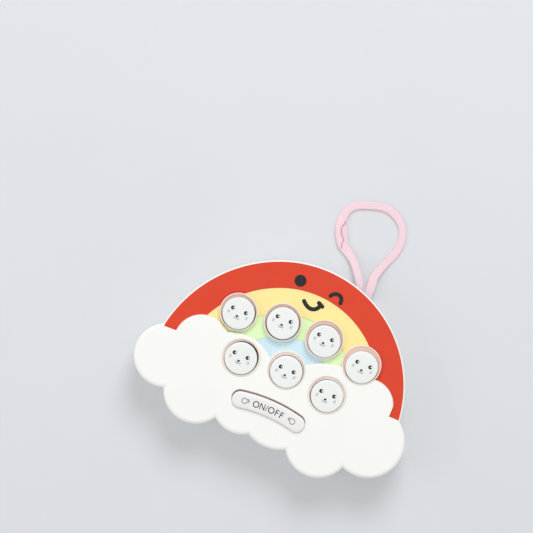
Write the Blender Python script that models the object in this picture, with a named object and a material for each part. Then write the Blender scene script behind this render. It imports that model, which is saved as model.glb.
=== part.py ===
"""Handheld light game: a rainbow standing in a cloud, with seven light caps and a power button.

It lies on its back: +Z is the front face, +Y the top of the rainbow. Lengths are in metres.
Plan positions are measured from the centre of the rainbow's arch.
"""

import math

import bmesh
import bpy
from mathutils import Matrix, Vector

# Fits and facets
fit_gap = 0.0003
cut_overrun = 0.002
weld_depth = 0.0005
round_sides = 20
small_sides = 12
lobe_step = math.radians(16)
arch_step = math.radians(7.5)
edge_turns = (0, 35, 65, 90)
back_edge_turns = (90, 45, 0)
resin_turns = (25, 50, 75)
slant_share = 0.35

# Rainbow arch, whose left half is struck with a longer radius
arch_radius = 0.0420
arch_left_radius_share = 1.104
arch_join_angle = math.radians(113)
arch_skirt = 0.0030

# Cloud lobes anticlockwise: x, y and radius as shares of the arch radius,
# and the share of an edge rounding or wall that the lobe takes
cloud_lobe_shares = {
    "right": (0.826, -0.124, 0.293, 1.0),
    "upper_right": (0.702, 0.143, 0.207, 0.5),
    "inner_right": (0.452, -0.214, 0.555, 0.5),
    "middle_collar": (0.000, 0.129, 0.176, 0.5),
    "inner_left": (-0.393, -0.095, 0.357, 0.5),
    "upper_left": (-0.710, 0.062, 0.226, 0.5),
    "left": (-0.930, -0.145, 0.257, 1.0),
    "lower_left": (-0.593, -0.305, 0.264, 1.0),
    "bottom_left": (-0.210, -0.245, 0.252, 1.0),
    "bottom_middle": (0.083, -0.167, 0.329, 1.0),
    "lower_right": (0.471, -0.307, 0.267, 1.0),
}

# Case walls
wall = 0.0018
floor_wall = 0.0016
panel_wall = 0.0012
cloud_wall = 0.0016
back_edge_radius = 0.0015
arch_edge_radius = 0.0005
cloud_edge_radius = 0.0020
tongue_thickness = 0.00075
tongue_height = 0.0012

# Rainbow bands: width of each of the three outer ones, and the step down between them
red_width = 0.0088
yellow_width = 0.0087
green_width = 0.0074
band_step = 0.0003
cloud_over_red = 0.0012
collar_over_cloud = 0.0004
red_moat = 0.0006

# Light caps and their collars
cap_radius = 0.0055
cap_clearance = 0.00065
collar_wall = 0.0007
cap_wall = 0.0009
cap_top_wall = 0.0012
cap_edge_radius = 0.0006
cap_proud = 0.0008
press_travel = 0.0008
flange_width = 0.0011
flange_thickness = 0.0008
sleeve_drop = 0.0007
post_radius = 0.0015
cap_droop = 0.0003
droop_angle = math.radians(-66.3)

# Button rows, all struck from one point below the toy, upwards from the power key
power_row_radius = 0.0504
power_row_drop = 0.0085
lower_row_clearance = 0.0032
top_row_clearance = 0.0011
top_pitch_clearance = 0.0015
lower_pitch_clearance = 0.0022

# Power button
power_half_width = 0.0028
power_half_length = 0.0129
power_clearance = 0.00035
power_top_wall = 0.0012
power_side_wall = 0.0010
power_flange_width = 0.0007
slot_arc_facets = 5

# Circuit board and what is soldered on it
board_thickness = 0.0012
board_side_margin = 0.0065
board_top_margin = 0.0057
board_bottom_margin = 0.0050
board_wall_clearance = 0.0006
switch_width = 0.0045
switch_height = 0.0020
switch_bore = 0.0015
switch_bore_depth = 0.0017
plunger_radius = 0.0012
plunger_reach = 0.0011
lamp_length = 0.0020
lamp_width = 0.0012
lamp_height = 0.0008
lamp_offset = 0.0033
chip_radius = 0.0032
chip_height = 0.0011
flange_above_board = 0.0019

# Battery bay in the back
cell_radius = 0.0058
cell_height = 0.0054
cell_cap_height = 0.0004
cell_cap_inset = 0.0008
cell_count = 3
cell_spacing = 0.0004
contact_thickness = 0.0003
contact_width = 0.0060
bay_side_clearance = 0.0008
bay_centre_y = 0.0135
bay_wall = 0.0017
bay_ledge = 0.0009
bay_ceiling = 0.0010

# Battery door
door_thickness = 0.0012
door_recess = 0.0002
door_corner_radius = 0.0012
ear_radius = 0.0034
tab_width = 0.0050
tab_reach = 0.0020
tab_thickness = 0.0008
tab_offset = 0.0110
tab_swing_room = 0.0024
bay_screw_radius = 0.0011
bay_screw_head_radius = 0.0019
bay_screw_head_height = 0.0008
bay_screw_depth = 0.0055
bay_screw_clearance = 0.00065
ear_cup_depth = 0.0018
ear_shelf = 0.0008

# Screws that hold the case and the board
case_screw_radius = 0.0011
case_head_radius = 0.0022
case_head_height = 0.0014
case_head_sink = 0.0013
case_shelf = 0.0020
case_screw_reach = 0.0057
boss_wall = 0.0009
upper_boss_clearance = 0.0005
board_head_height = 0.0010
board_screw_reach = 0.0030
peg_radius = 0.0010
pan_flat_share = 0.75
cross_length_share = 0.6
cross_width_share = 0.22
cross_depth_share = 0.5

# Loudspeaker
speaker_radius = 0.0065
speaker_rim_height = 0.0012
magnet_radius = 0.0042
magnet_height = 0.0019
speaker_ring_wall = 0.0008
speaker_ring_height = 0.0022
grille_hole_radius = 0.0007
grille_ring_radius = 0.0028
grille_ring_count = 8

# Wrist strap and the bar that it is looped on
strap_diameter = 0.0030
strap_angle = math.radians(71)
bar_radius = 0.0010
bar_height = 0.0036
bar_inset = 0.0036
strap_strand_offset = 0.0018
strap_side_room = 0.0014
lug_length = 0.0021
lug_depth = 0.0020
bar_socket_depth = 0.0009
strap_route = (
    (0.01142, 0.03870, 0.0036),
    (0.01185, 0.03995, 0.0036),
    (0.01170, 0.04230, 0.0035),
    (0.00960, 0.04460, 0.0030),
    (0.00630, 0.04710, 0.0022),
    (0.00270, 0.04970, 0.0016),
    (-0.00040, 0.05200, 0.0015),
    (-0.00300, 0.05570, 0.0015),
    (-0.00410, 0.06000, 0.0015),
    (-0.00280, 0.06360, 0.0015),
    (-0.00020, 0.06650, 0.0015),
    (0.00370, 0.06820, 0.0015),
    (0.00870, 0.06920, 0.0015),
    (0.01300, 0.06840, 0.0015),
    (0.01670, 0.06570, 0.0015),
    (0.01850, 0.06150, 0.0015),
    (0.01840, 0.05670, 0.0015),
    (0.01660, 0.05160, 0.0017),
    (0.01500, 0.04640, 0.0024),
    (0.01520, 0.04300, 0.0032),
    (0.01525, 0.03880, 0.0036),
    (0.01476, 0.03733, 0.0036),
)

# Heights, stacked up from the back face
door_top = door_recess + door_thickness
bay_ledge_z = door_top + fit_gap
link_top = bay_ledge_z + contact_thickness
cell_bottom = link_top + fit_gap
cell_top = cell_bottom + cell_height
roof_contact_bottom = cell_top + fit_gap
roof_contact_top = roof_contact_bottom + contact_thickness
bay_roof = roof_contact_top + fit_gap
bay_top = bay_roof + bay_ceiling
board_bottom = bay_top + fit_gap
board_top = board_bottom + board_thickness
switch_bottom = board_top + fit_gap
switch_top = switch_bottom + switch_height
bore_floor = switch_top - switch_bore_depth
plunger_bottom = bore_floor + press_travel + fit_gap
plunger_top = switch_top + plunger_reach
cap_post_bottom = plunger_top + fit_gap
flange_bottom = board_top + flange_above_board
flange_top = flange_bottom + flange_thickness
sleeve_bottom = flange_top + fit_gap
panel_underside = sleeve_bottom + sleeve_drop
blue_level = panel_underside + panel_wall
green_level = blue_level + band_step
yellow_level = green_level + band_step
red_level = yellow_level + band_step
cloud_level = red_level + cloud_over_red
cloud_underside = cloud_level - cloud_wall
collar_level = cloud_level + collar_over_cloud
cap_top = collar_level + cap_proud
parting = bay_top

# Plan sizes that follow from those above
row_focus_drop = power_row_radius + power_row_drop
hole_radius = cap_radius + cap_clearance
collar_radius = hole_radius + collar_wall
flange_radius = cap_radius + flange_width
slot_half_width = power_half_width + power_clearance
lower_row_radius = power_row_radius + slot_half_width + collar_wall + lower_row_clearance + collar_radius
top_row_radius = lower_row_radius + 2 * collar_radius + top_row_clearance
cell_pitch = 2 * cell_radius + cell_spacing
bay_half_length = cell_count * cell_pitch / 2 + bay_side_clearance
bay_half_width = cell_radius + bay_side_clearance
door_half_length = bay_half_length + bay_ledge - fit_gap
door_half_width = bay_half_width + bay_ledge - fit_gap
ear_y = bay_centre_y - bay_half_width - bay_wall - bay_screw_radius
case_boss_radius = case_head_radius + fit_gap + boss_wall
case_post_radius = case_screw_radius + fit_gap + boss_wall + fit_gap

white = (0.93, 0.93, 0.92, 1)
print_colours = {
    "rainbow_red": (0.78, 0.07, 0.03, 1),
    "rainbow_yellow": (0.98, 0.80, 0.30, 1),
    "rainbow_green": (0.60, 0.93, 0.37, 1),
    "rainbow_blue": (0.60, 0.83, 0.93, 1),
}


def finish(name, colour, roughness=0.4, metallic=0.0):
    """A plain surface finish, made once and shared by the pieces that have it."""
    material = bpy.data.materials.get(name)
    if material is None:
        material = bpy.data.materials.new(name)
        material.use_nodes = True
        shader = material.node_tree.nodes["Principled BSDF"]
        shader.inputs["Base Color"].default_value = colour
        shader.inputs["Roughness"].default_value = roughness
        shader.inputs["Metallic"].default_value = metallic
    return material


def row_place(row_radius, pitch, steps):
    """A point on a button row, so many pitches right of its middle."""
    angle = steps * pitch / row_radius
    return Vector((row_radius * math.sin(angle), row_radius * math.cos(angle) - row_focus_drop))


def button_places():
    """The seven light caps: the upper row of four, then the lower row of three, each from the left."""
    top_pitch = 2 * collar_radius + top_pitch_clearance
    lower_pitch = 2 * collar_radius + lower_pitch_clearance
    places = [row_place(top_row_radius, top_pitch, steps) for steps in (-1.5, -0.5, 0.5, 1.5)]
    return places + [row_place(lower_row_radius, lower_pitch, steps) for steps in (-1, 0, 1)]


def arch_outline(inset):
    """The rainbow's arch, closed by a straight skirt that lies inside the cloud."""
    right_radius = arch_radius - inset
    left_radius = arch_radius * arch_left_radius_share - inset
    shift = arch_radius * (1 - arch_left_radius_share)
    left_centre = Vector((math.cos(arch_join_angle), math.sin(arch_join_angle))) * shift
    start = -math.asin(arch_skirt / right_radius)
    end = math.pi - math.asin((-arch_skirt - left_centre.y) / left_radius)
    right_count = round(arch_join_angle / arch_step)
    left_count = round((math.pi - arch_join_angle) / arch_step)
    points = []
    for index in range(right_count):
        angle = start + (arch_join_angle - start) * index / right_count
        points.append(Vector((right_radius * math.cos(angle), right_radius * math.sin(angle))))
    for index in range(left_count + 1):
        angle = arch_join_angle + (end - arch_join_angle) * index / left_count
        points.append(left_centre + Vector((math.cos(angle), math.sin(angle))) * left_radius)
    return points


def cloud_lobes(inset):
    """The lobes' centres and radii, drawn in by the inset."""
    lobes = []
    for x, y, radius, edge in cloud_lobe_shares.values():
        lobes.append((Vector((x, y)) * arch_radius, radius * arch_radius - inset * edge))
    return lobes


def lobe_crossing(first, second):
    """Where two neighbouring lobes meet, on the cloud's outer side."""
    centre, radius = first
    span = second[0] - centre
    along = (span.length_squared + radius**2 - second[1] ** 2) / (2 * span.length)
    aside = math.sqrt(max(radius**2 - along**2, 0))
    direction = span.normalized()
    return centre + direction * along + Vector((direction.y, -direction.x)) * aside


def lobe_sweeps(lobes):
    """Each lobe's first angle and how far its arc turns."""
    sweeps = []
    for index, (centre, _) in enumerate(lobes):
        first = lobe_crossing(lobes[index - 1], lobes[index]) - centre
        last = lobe_crossing(lobes[index], lobes[(index + 1) % len(lobes)]) - centre
        start = math.atan2(first.y, first.x)
        turn = (math.atan2(last.y, last.x) - start) % (2 * math.pi)
        sweeps.append((start, turn))
    return sweeps


def cloud_outline(inset):
    """The whole cloud, lobe after lobe, with as many points at any inset."""
    counts = [max(2, round(turn / lobe_step)) for _, turn in lobe_sweeps(cloud_lobes(0))]
    lobes = cloud_lobes(inset)
    points = []
    for (centre, radius), (start, turn), count in zip(lobes, lobe_sweeps(lobes), counts):
        for index in range(count):
            angle = start + turn * index / count
            points.append(centre + Vector((math.cos(angle), math.sin(angle))) * radius)
    return points


def slot_outline(grow):
    """The power button's bent slot, grown or drawn in on all sides."""
    half_width = power_half_width + grow
    end_angle = (power_half_length - power_half_width) / power_row_radius
    middle = Vector((0, -row_focus_drop))
    points = []
    for side in (1, -1):
        centre = middle + Vector((side * math.sin(end_angle), math.cos(end_angle))) * power_row_radius
        for index in range(small_sides // 2 + 1):
            angle = math.pi * index / (small_sides // 2) - side * (math.pi / 2 + end_angle)
            points.append(centre + Vector((math.cos(angle), math.sin(angle))) * half_width)
        radius = power_row_radius + side * half_width
        arc_count = slot_arc_facets
        for index in range(1, arc_count):
            angle = side * end_angle * (1 - 2 * index / arc_count)
            points.append(middle + Vector((math.sin(angle), math.cos(angle))) * radius)
    return points


def disc_outline(radius, sides=round_sides, centre=(0, 0)):
    """A circle of points."""
    step = 2 * math.pi / sides
    middle = Vector(centre)
    return [middle + Vector((math.cos(k * step), math.sin(k * step))) * radius for k in range(sides)]


def at_height(outline, height):
    return [Vector((point[0], point[1], height)) for point in outline]


def add_loft(mesh, rings, closed=False, colours=None):
    """Bridges rings of equally many points. The ends are capped, or joined to each other where closed."""
    rows = [[mesh.verts.new(point) for point in ring] for ring in rings]
    pairs = list(zip(rows, rows[1:]))
    if closed:
        pairs.append((rows[-1], rows[0]))
    else:
        mesh.faces.new(reversed(rows[0]))
        top = mesh.faces.new(rows[-1])
        top.material_index = colours[-1] if colours else 0
    for row, (low, high) in enumerate(pairs):
        for index, corner in enumerate(low):
            after = (index + 1) % len(low)
            face = mesh.faces.new((corner, low[after], high[after], high[index]))
            face.material_index = colours[row] if colours else 0


def add_prism(mesh, outline, low, high):
    add_loft(mesh, [at_height(outline, low), at_height(outline, high)])


def add_box(mesh, low, high):
    """A box between two corners."""
    corners = [(low[0], low[1]), (high[0], low[1]), (high[0], high[1]), (low[0], high[1])]
    add_prism(mesh, corners, low[2], high[2])


def add_turned(mesh, profile, centre=(0, 0), sides=round_sides, closed=False):
    """A profile of radii and heights turned about an upright axis. A radius of zero ends on the axis."""
    rows = []
    for radius, height in profile:
        if radius:
            rows.append([mesh.verts.new(p) for p in at_height(disc_outline(radius, sides, centre), height)])
        else:
            rows.append([mesh.verts.new((centre[0], centre[1], height))])
    pairs = list(zip(rows, rows[1:]))
    if closed:
        pairs.append((rows[-1], rows[0]))
    for low, high in pairs:
        for index in range(sides):
            after = (index + 1) % sides
            ring = [low[index % len(low)], low[after % len(low)]]
            ring += [high[after % len(high)], high[index % len(high)]]
            mesh.faces.new(list(dict.fromkeys(ring)))


def add_rod(mesh, radius, low, high, centre=(0, 0), sides=small_sides):
    add_turned(mesh, [(0, low), (radius, low), (radius, high), (0, high)], centre, sides)


def add_tube(mesh, inner, outer, low, high, centre=(0, 0), sides=round_sides):
    add_turned(mesh, [(inner, low), (outer, low), (outer, high), (inner, high)], centre, sides, closed=True)


def turn_about_arch_centre(mesh, angle):
    """Turns all that is in the mesh about the arch's centre, as seen from the front."""
    bmesh.ops.rotate(mesh, verts=mesh.verts, cent=Vector(), matrix=Matrix.Rotation(angle, 3, "Z"))


def make_piece(name, mesh, finishes, place=(0, 0, 0)):
    """Turns a mesh into a named object that hangs from the toy's centre."""
    bmesh.ops.recalc_face_normals(mesh, faces=mesh.faces)
    data = bpy.data.meshes.new(name)
    mesh.to_mesh(data)
    mesh.free()
    data.shade_smooth()
    data.set_sharp_from_angle(angle=math.radians(35))
    for material in finishes:
        data.materials.append(material)
    piece = bpy.data.objects.new(name, data)
    bpy.context.scene.collection.objects.link(piece)
    piece.location = place
    piece.parent = bpy.data.objects["toy_centre"]
    return piece


def make_tool(name, mesh):
    """A hidden helper that is joined to a piece or cut from it."""
    tool = make_piece(name, mesh, [])
    tool.hide_render = True
    tool.display_type = "WIRE"
    return tool


def combine(piece, tool, operation):
    """Adds a live Boolean."""
    modifier = piece.modifiers.new(tool.name, "BOOLEAN")
    modifier.operation = operation
    modifier.object = tool


def case_boss_places():
    """The four case screws: one in the middle of each side lobe, two under the rainbow."""
    reach = arch_radius - wall - case_boss_radius - weld_depth
    places = [Vector(cloud_lobe_shares[side][:2]) * arch_radius for side in ("left", "right")]
    beyond_bay = bay_centre_y + bay_block_half_width() + case_boss_radius
    beyond_board = board_limits()[2] + case_post_radius
    y = max(beyond_bay, beyond_board) + upper_boss_clearance
    x = math.sqrt(max(reach**2 - y**2, 0))
    return [*places, Vector((-x, y)), Vector((x, y))]


def bay_block_half_width():
    return bay_half_width + bay_ledge + bay_wall / 2


def board_limits():
    """The board's half width, its lower edge and its upper edge."""
    places = button_places()
    half_width = places[3].x + board_side_margin
    low = power_row_radius - row_focus_drop - board_bottom_margin
    high = places[1].y + board_top_margin
    return half_width, low, high


def board_screw_places():
    half_width, _, _ = board_limits()
    x = half_width - case_post_radius - fit_gap
    return [Vector((side * x, button_places()[4].y)) for side in (-1, 1)]


def board_peg_places():
    half_width, low, _ = board_limits()
    x = half_width - 2 * (peg_radius + board_top_margin / 2 + fit_gap)
    return [Vector((side * x, low + 2 * peg_radius + fit_gap)) for side in (-1, 1)]


def case_prisms(mesh_name, inset, low, high):
    """Two tools with the case's outline, one for the arch and one for the cloud."""
    tools = []
    for part_name, outline in (("arch", arch_outline(inset)), ("cloud", cloud_outline(inset))):
        mesh = bmesh.new()
        add_prism(mesh, outline, low, high)
        tools.append(make_tool(f"{mesh_name}_{part_name}", mesh))
    return tools


def rainbow_rings():
    """The arch's upper surface: its round edge, then each band a step below the last."""
    red_start = arch_edge_radius
    yellow_start = red_start + red_width
    green_start = yellow_start + yellow_width
    blue_start = green_start + green_width
    slant = band_step * slant_share
    levels = [
        (0, parting - cut_overrun, 0),
        (0, red_level - arch_edge_radius, 0),
        (arch_edge_radius * slant_share, red_level - arch_edge_radius * slant_share, 0),
        (red_start, red_level, 0),
        (yellow_start - slant, red_level, 1),
        (yellow_start, yellow_level, 1),
        (green_start - slant, yellow_level, 2),
        (green_start, green_level, 2),
        (blue_start - slant, green_level, 3),
        (blue_start, blue_level, 3),
    ]
    rings = [at_height(arch_outline(inset), height) for inset, height, _ in levels]
    return rings, [colour for _, _, colour in levels[1:]] + [4]


def cloud_rings():
    """The cloud's outside with a soft round edge."""
    levels = [(0, parting - 2 * cut_overrun)]
    for turn in edge_turns:
        angle = math.radians(turn)
        inset = cloud_edge_radius * (1 - math.cos(angle))
        levels.append((inset, cloud_level - cloud_edge_radius * (1 - math.sin(angle))))
    return [at_height(cloud_outline(inset), height) for inset, height in levels]


def case_boss_top():
    return case_head_sink + case_head_height + fit_gap + case_shelf


def add_post(mesh, place, low, hole_top, high):
    """A screw post with a blind pilot hole in its lower end."""
    pilot = case_screw_radius + fit_gap
    outer = case_post_radius
    profile = [(0, hole_top), (pilot, hole_top), (pilot, low), (outer, low), (outer, high), (0, high)]
    add_turned(mesh, profile, place, small_sides)


def make_front_shell():
    """Front half of the case: banded arch, cloud, collars, sleeves, screw posts and the groove of its rim."""
    mesh = bmesh.new()
    rings, colours = rainbow_rings()
    add_loft(mesh, rings, colours=colours)
    finishes = [finish("white_plastic", white, 0.35)]
    finishes += [finish(name, colour, 0.4) for name, colour in print_colours.items()]
    shell = make_piece("front_shell", mesh, finishes)

    mesh = bmesh.new()
    for index in (0, 3):
        moat_floor = yellow_level + band_step * slant_share
        place = button_places()[index]
        add_rod(mesh, collar_radius + red_moat, moat_floor, cap_top, place, round_sides)
    combine(shell, make_tool("red_band_moats", mesh), "DIFFERENCE")

    mesh = bmesh.new()
    add_loft(mesh, cloud_rings())
    combine(shell, make_tool("cloud_front", mesh), "UNION")

    mesh = bmesh.new()
    reach = 2 * arch_radius
    add_box(mesh, (-reach, -reach, 0), (reach, reach, parting + fit_gap / 2))
    combine(shell, make_tool("below_parting", mesh), "DIFFERENCE")

    arch_cavity, cloud_cavity = bmesh.new(), bmesh.new()
    add_prism(arch_cavity, arch_outline(wall), parting - cut_overrun, panel_underside)
    add_prism(cloud_cavity, cloud_outline(wall), parting - 2 * cut_overrun, cloud_underside)
    combine(shell, make_tool("front_cavity_arch", arch_cavity), "DIFFERENCE")
    combine(shell, make_tool("front_cavity_cloud", cloud_cavity), "DIFFERENCE")
    groove_top = parting + tongue_height + fit_gap
    groove_inset = wall - tongue_thickness - fit_gap
    for tool in case_prisms("rim_groove", groove_inset, parting - cut_overrun, groove_top):
        combine(shell, tool, "DIFFERENCE")

    mesh = bmesh.new()
    half_wall = collar_wall / 2
    for place in button_places():
        add_rod(mesh, hole_radius + half_wall, sleeve_bottom, cap_top, place, round_sides)
    add_prism(mesh, slot_outline(power_clearance + half_wall), sleeve_bottom, cap_top)
    combine(shell, make_tool("button_openings", mesh), "DIFFERENCE")

    mesh = bmesh.new()
    edge = collar_wall * slant_share
    for place in button_places():
        profile = [
            (hole_radius, sleeve_bottom),
            (collar_radius, sleeve_bottom),
            (collar_radius, collar_level - edge),
            (collar_radius - edge, collar_level),
            (hole_radius, collar_level),
        ]
        add_turned(mesh, profile, place, closed=True)
    inner, outer = slot_outline(power_clearance), slot_outline(power_clearance + collar_wall)
    slot_rings = [
        at_height(inner, sleeve_bottom),
        at_height(outer, sleeve_bottom),
        at_height(outer, collar_level - edge),
        at_height(slot_outline(power_clearance + collar_wall - edge), collar_level),
        at_height(inner, collar_level),
    ]
    add_loft(mesh, slot_rings, closed=True)
    combine(shell, make_tool("collars_and_sleeves", mesh), "UNION")

    mesh = bmesh.new()
    post_low = case_boss_top() + 2 * fit_gap
    for number, place in enumerate(case_boss_places()):
        roof = cloud_underside if number < 2 else panel_underside
        add_post(mesh, place, post_low, post_low + case_screw_reach + fit_gap, roof + weld_depth)
    for place in board_screw_places():
        low = board_top + fit_gap
        add_post(mesh, place, low, board_top + board_screw_reach + fit_gap, cloud_underside + weld_depth)
    for place in board_peg_places():
        low = board_bottom - fit_gap
        add_rod(mesh, peg_radius, low, cloud_underside + weld_depth, place, small_sides // 2)
    combine(shell, make_tool("posts_and_pegs", mesh), "UNION")
    return shell


def back_rings(outline):
    """One part of the back shell's outside, with its round lower edge."""
    levels = []
    for turn in back_edge_turns:
        angle = math.radians(turn)
        inset = back_edge_radius * (1 - math.cos(angle))
        levels.append((inset, back_edge_radius * (1 - math.sin(angle))))
    levels.append((0, parting - fit_gap / 2))
    return [at_height(outline(inset), height) for inset, height in levels]


def door_outline(grow):
    """The battery door's plan, grown on all sides: a rectangle with a round ear in its lower edge."""
    half_length, half_width = door_half_length + grow, door_half_width + grow
    corner = door_corner_radius + grow
    points = []
    for quarter, (side_x, side_y) in enumerate(((1, 1), (-1, 1), (-1, -1), (1, -1))):
        hub = Vector((side_x * (half_length - corner), bay_centre_y + side_y * (half_width - corner)))
        for index in range(4):
            angle = math.pi / 2 * (quarter + index / 3)
            points.append(hub + Vector((math.cos(angle), math.sin(angle))) * corner)
        if quarter == 2:
            points += ear_outline(ear_radius + grow, bay_centre_y - half_width)
    return points


def ear_outline(radius, neck):
    """The lower half of a circle about the door's screw, on straight sides from a line above it."""
    count = small_sides // 2
    points = [Vector((-radius, neck))]
    for index in range(count + 1):
        angle = math.pi + math.pi * index / count
        points.append(Vector((radius * math.cos(angle), ear_y + radius * math.sin(angle))))
    return [*points, Vector((radius, neck))]


def make_back_shell():
    """Back half of the case: floor, rim tongue, screw bosses, battery bay, speaker ring and strap lugs."""
    mesh = bmesh.new()
    add_loft(mesh, back_rings(arch_outline))
    shell = make_piece("back_shell", mesh, [finish("white_plastic", white, 0.35)])
    mesh = bmesh.new()
    add_loft(mesh, back_rings(cloud_outline))
    combine(shell, make_tool("cloud_back", mesh), "UNION")
    tongue_inset = wall - tongue_thickness
    for tool in case_prisms("rim_tongue", tongue_inset, parting - cut_overrun, parting + tongue_height):
        combine(shell, tool, "UNION")
    for tool in case_prisms("back_cavity", wall, floor_wall, parting + tongue_height + cut_overrun):
        combine(shell, tool, "DIFFERENCE")

    mesh = bmesh.new()
    speaker_y = power_row_radius - row_focus_drop
    head_room = case_head_radius + fit_gap
    for place in case_boss_places():
        add_rod(mesh, head_room + fit_gap, -cut_overrun, floor_wall + cut_overrun, place)
    grille = [Vector((0, speaker_y))]
    grille += disc_outline(grille_ring_radius, grille_ring_count, (0, speaker_y))
    for place in grille:
        add_rod(mesh, grille_hole_radius, -cut_overrun, floor_wall + cut_overrun, place, small_sides // 2)
    combine(shell, make_tool("floor_openings", mesh), "DIFFERENCE")

    mesh = bmesh.new()
    floor_weld = floor_wall - weld_depth
    shank_room = case_screw_radius + fit_gap
    boss_top = case_boss_top()
    for place in case_boss_places():
        profile = [
            (shank_room, boss_top),
            (case_boss_radius, boss_top),
            (case_boss_radius, floor_weld),
            (head_room, floor_weld),
            (head_room, boss_top - case_shelf),
            (shank_room, boss_top - case_shelf),
        ]
        add_turned(mesh, profile, place, small_sides, closed=True)
    combine(shell, make_tool("screw_bosses", mesh), "UNION")

    mesh = bmesh.new()
    ring_inner = speaker_radius + fit_gap
    ring_outer = ring_inner + speaker_ring_wall
    ring_top = floor_wall + speaker_ring_height
    add_tube(mesh, ring_inner, ring_outer, floor_weld, ring_top, (0, speaker_y))
    combine(shell, make_tool("speaker_ring", mesh), "UNION")

    mesh = bmesh.new()
    block_x = bay_half_length + bay_ledge + bay_wall / 2
    block_y = bay_block_half_width()
    low, high = (-block_x, bay_centre_y - block_y, floor_weld), (block_x, bay_centre_y + block_y, bay_top)
    add_box(mesh, low, high)
    combine(shell, make_tool("bay_block", mesh), "UNION")

    mesh = bmesh.new()
    ear_block = ear_radius + fit_gap + boss_wall
    ear_block_top = bay_screw_depth + fit_gap + floor_wall
    neck = bay_centre_y - bay_half_width - weld_depth
    add_prism(mesh, ear_outline(ear_block, neck), floor_weld, ear_block_top)
    combine(shell, make_tool("ear_block", mesh), "UNION")

    mesh = bmesh.new()
    lug_inner = strap_opening_half() + fit_gap
    bar_y = arch_radius - bar_inset
    for side in (-1, 1):
        low_x, high_x = sorted((side * lug_inner, side * (lug_inner + lug_length)))
        low = (low_x, bar_y - lug_depth, floor_weld)
        add_box(mesh, low, (high_x, arch_radius - wall + weld_depth, bar_height + lug_depth))
    turn_about_arch_centre(mesh, strap_angle - math.pi / 2)
    combine(shell, make_tool("strap_lugs", mesh), "UNION")

    mesh = bmesh.new()
    add_box(mesh, (-bay_half_length, bay_centre_y - bay_half_width, -cut_overrun),
            (bay_half_length, bay_centre_y + bay_half_width, bay_roof))
    combine(shell, make_tool("bay_room", mesh), "DIFFERENCE")

    mesh = bmesh.new()
    add_prism(mesh, door_outline(fit_gap), -cut_overrun / 2, bay_ledge_z)
    combine(shell, make_tool("door_recess", mesh), "DIFFERENCE")

    mesh = bmesh.new()
    cup_room = bay_screw_head_radius + fit_gap + boss_wall + 2 * fit_gap
    cup_top = door_recess + ear_cup_depth + ear_shelf
    add_rod(mesh, cup_room, bay_ledge_z - fit_gap, cup_top + fit_gap, (0, ear_y))
    combine(shell, make_tool("ear_cup_room", mesh), "DIFFERENCE")

    mesh = bmesh.new()
    shank_room = bay_screw_radius + bay_screw_clearance
    add_rod(mesh, shank_room, bay_ledge_z, bay_screw_depth + fit_gap, (0, ear_y))
    slot_top = bay_ledge_z + tab_thickness + fit_gap + tab_swing_room
    edge_y = bay_centre_y + bay_half_width
    for side in (-1, 1):
        slot_half = tab_width / 2 + fit_gap
        low = (side * tab_offset - slot_half, edge_y - weld_depth, floor_wall)
        slot_reach = bay_ledge + bay_wall + cut_overrun
        add_box(mesh, low, (side * tab_offset + slot_half, edge_y + slot_reach, slot_top))
    combine(shell, make_tool("screw_hole_and_tab_slots", mesh), "DIFFERENCE")

    mesh = bmesh.new()
    opening = strap_opening_half()
    half_height = strap_diameter / 2 + fit_gap
    add_box(mesh, (-opening, bar_y + bar_radius, bar_height - half_height),
            (opening, arch_radius + cut_overrun, bar_height + half_height))
    turn_about_arch_centre(mesh, strap_angle - math.pi / 2)
    combine(shell, make_tool("strap_opening", mesh), "DIFFERENCE")

    mesh = bmesh.new()
    socket_end = lug_inner + bar_socket_depth
    add_rod(mesh, bar_radius + fit_gap, -socket_end, socket_end)
    lay_along_strap_bar(mesh)
    combine(shell, make_tool("bar_socket", mesh), "DIFFERENCE")
    return shell


def strap_opening_half():
    """Half the width of the opening that both strands of the strap pass."""
    return strap_strand_offset + strap_diameter / 2 + strap_side_room


def lay_along_strap_bar(mesh):
    """Lays an upright rod down where the strap's bar is."""
    bmesh.ops.rotate(mesh, verts=mesh.verts, cent=Vector(), matrix=Matrix.Rotation(math.pi / 2, 3, "Y"))
    bmesh.ops.translate(mesh, verts=mesh.verts, vec=Vector((0, arch_radius - bar_inset, bar_height)))
    turn_about_arch_centre(mesh, strap_angle - math.pi / 2)


def make_strap():
    """The bar in the case's edge, and the wrist strap whose two ends meet it."""
    mesh = bmesh.new()
    reach = strap_opening_half() + bar_socket_depth
    add_rod(mesh, bar_radius, -reach, reach)
    lay_along_strap_bar(mesh)
    make_piece("strap_bar", mesh, [finish("steel", (0.6, 0.6, 0.62, 1), 0.3, 1.0)])

    curve = bpy.data.curves.new("wrist_strap", "CURVE")
    curve.dimensions = "3D"
    curve.bevel_depth = strap_diameter / 2
    curve.bevel_resolution = 2
    curve.use_fill_caps = True
    points = smooth_route([Vector(point) for point in strap_route])
    spline = curve.splines.new("POLY")
    spline.points.add(len(points) - 1)
    for spot, point in zip(spline.points, points):
        spot.co = (*point, 1)
    curve.materials.append(finish("pink_strap", (0.93, 0.68, 0.76, 1), 0.7))
    strap = bpy.data.objects.new("wrist_strap", curve)
    bpy.context.scene.collection.objects.link(strap)
    strap.parent = bpy.data.objects["toy_centre"]
    length = sum((b - a).length for a, b in zip(points, points[1:]))
    print(f"wrist strap: {len(points)} points, {length * 1000:.1f} mm long")


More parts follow.
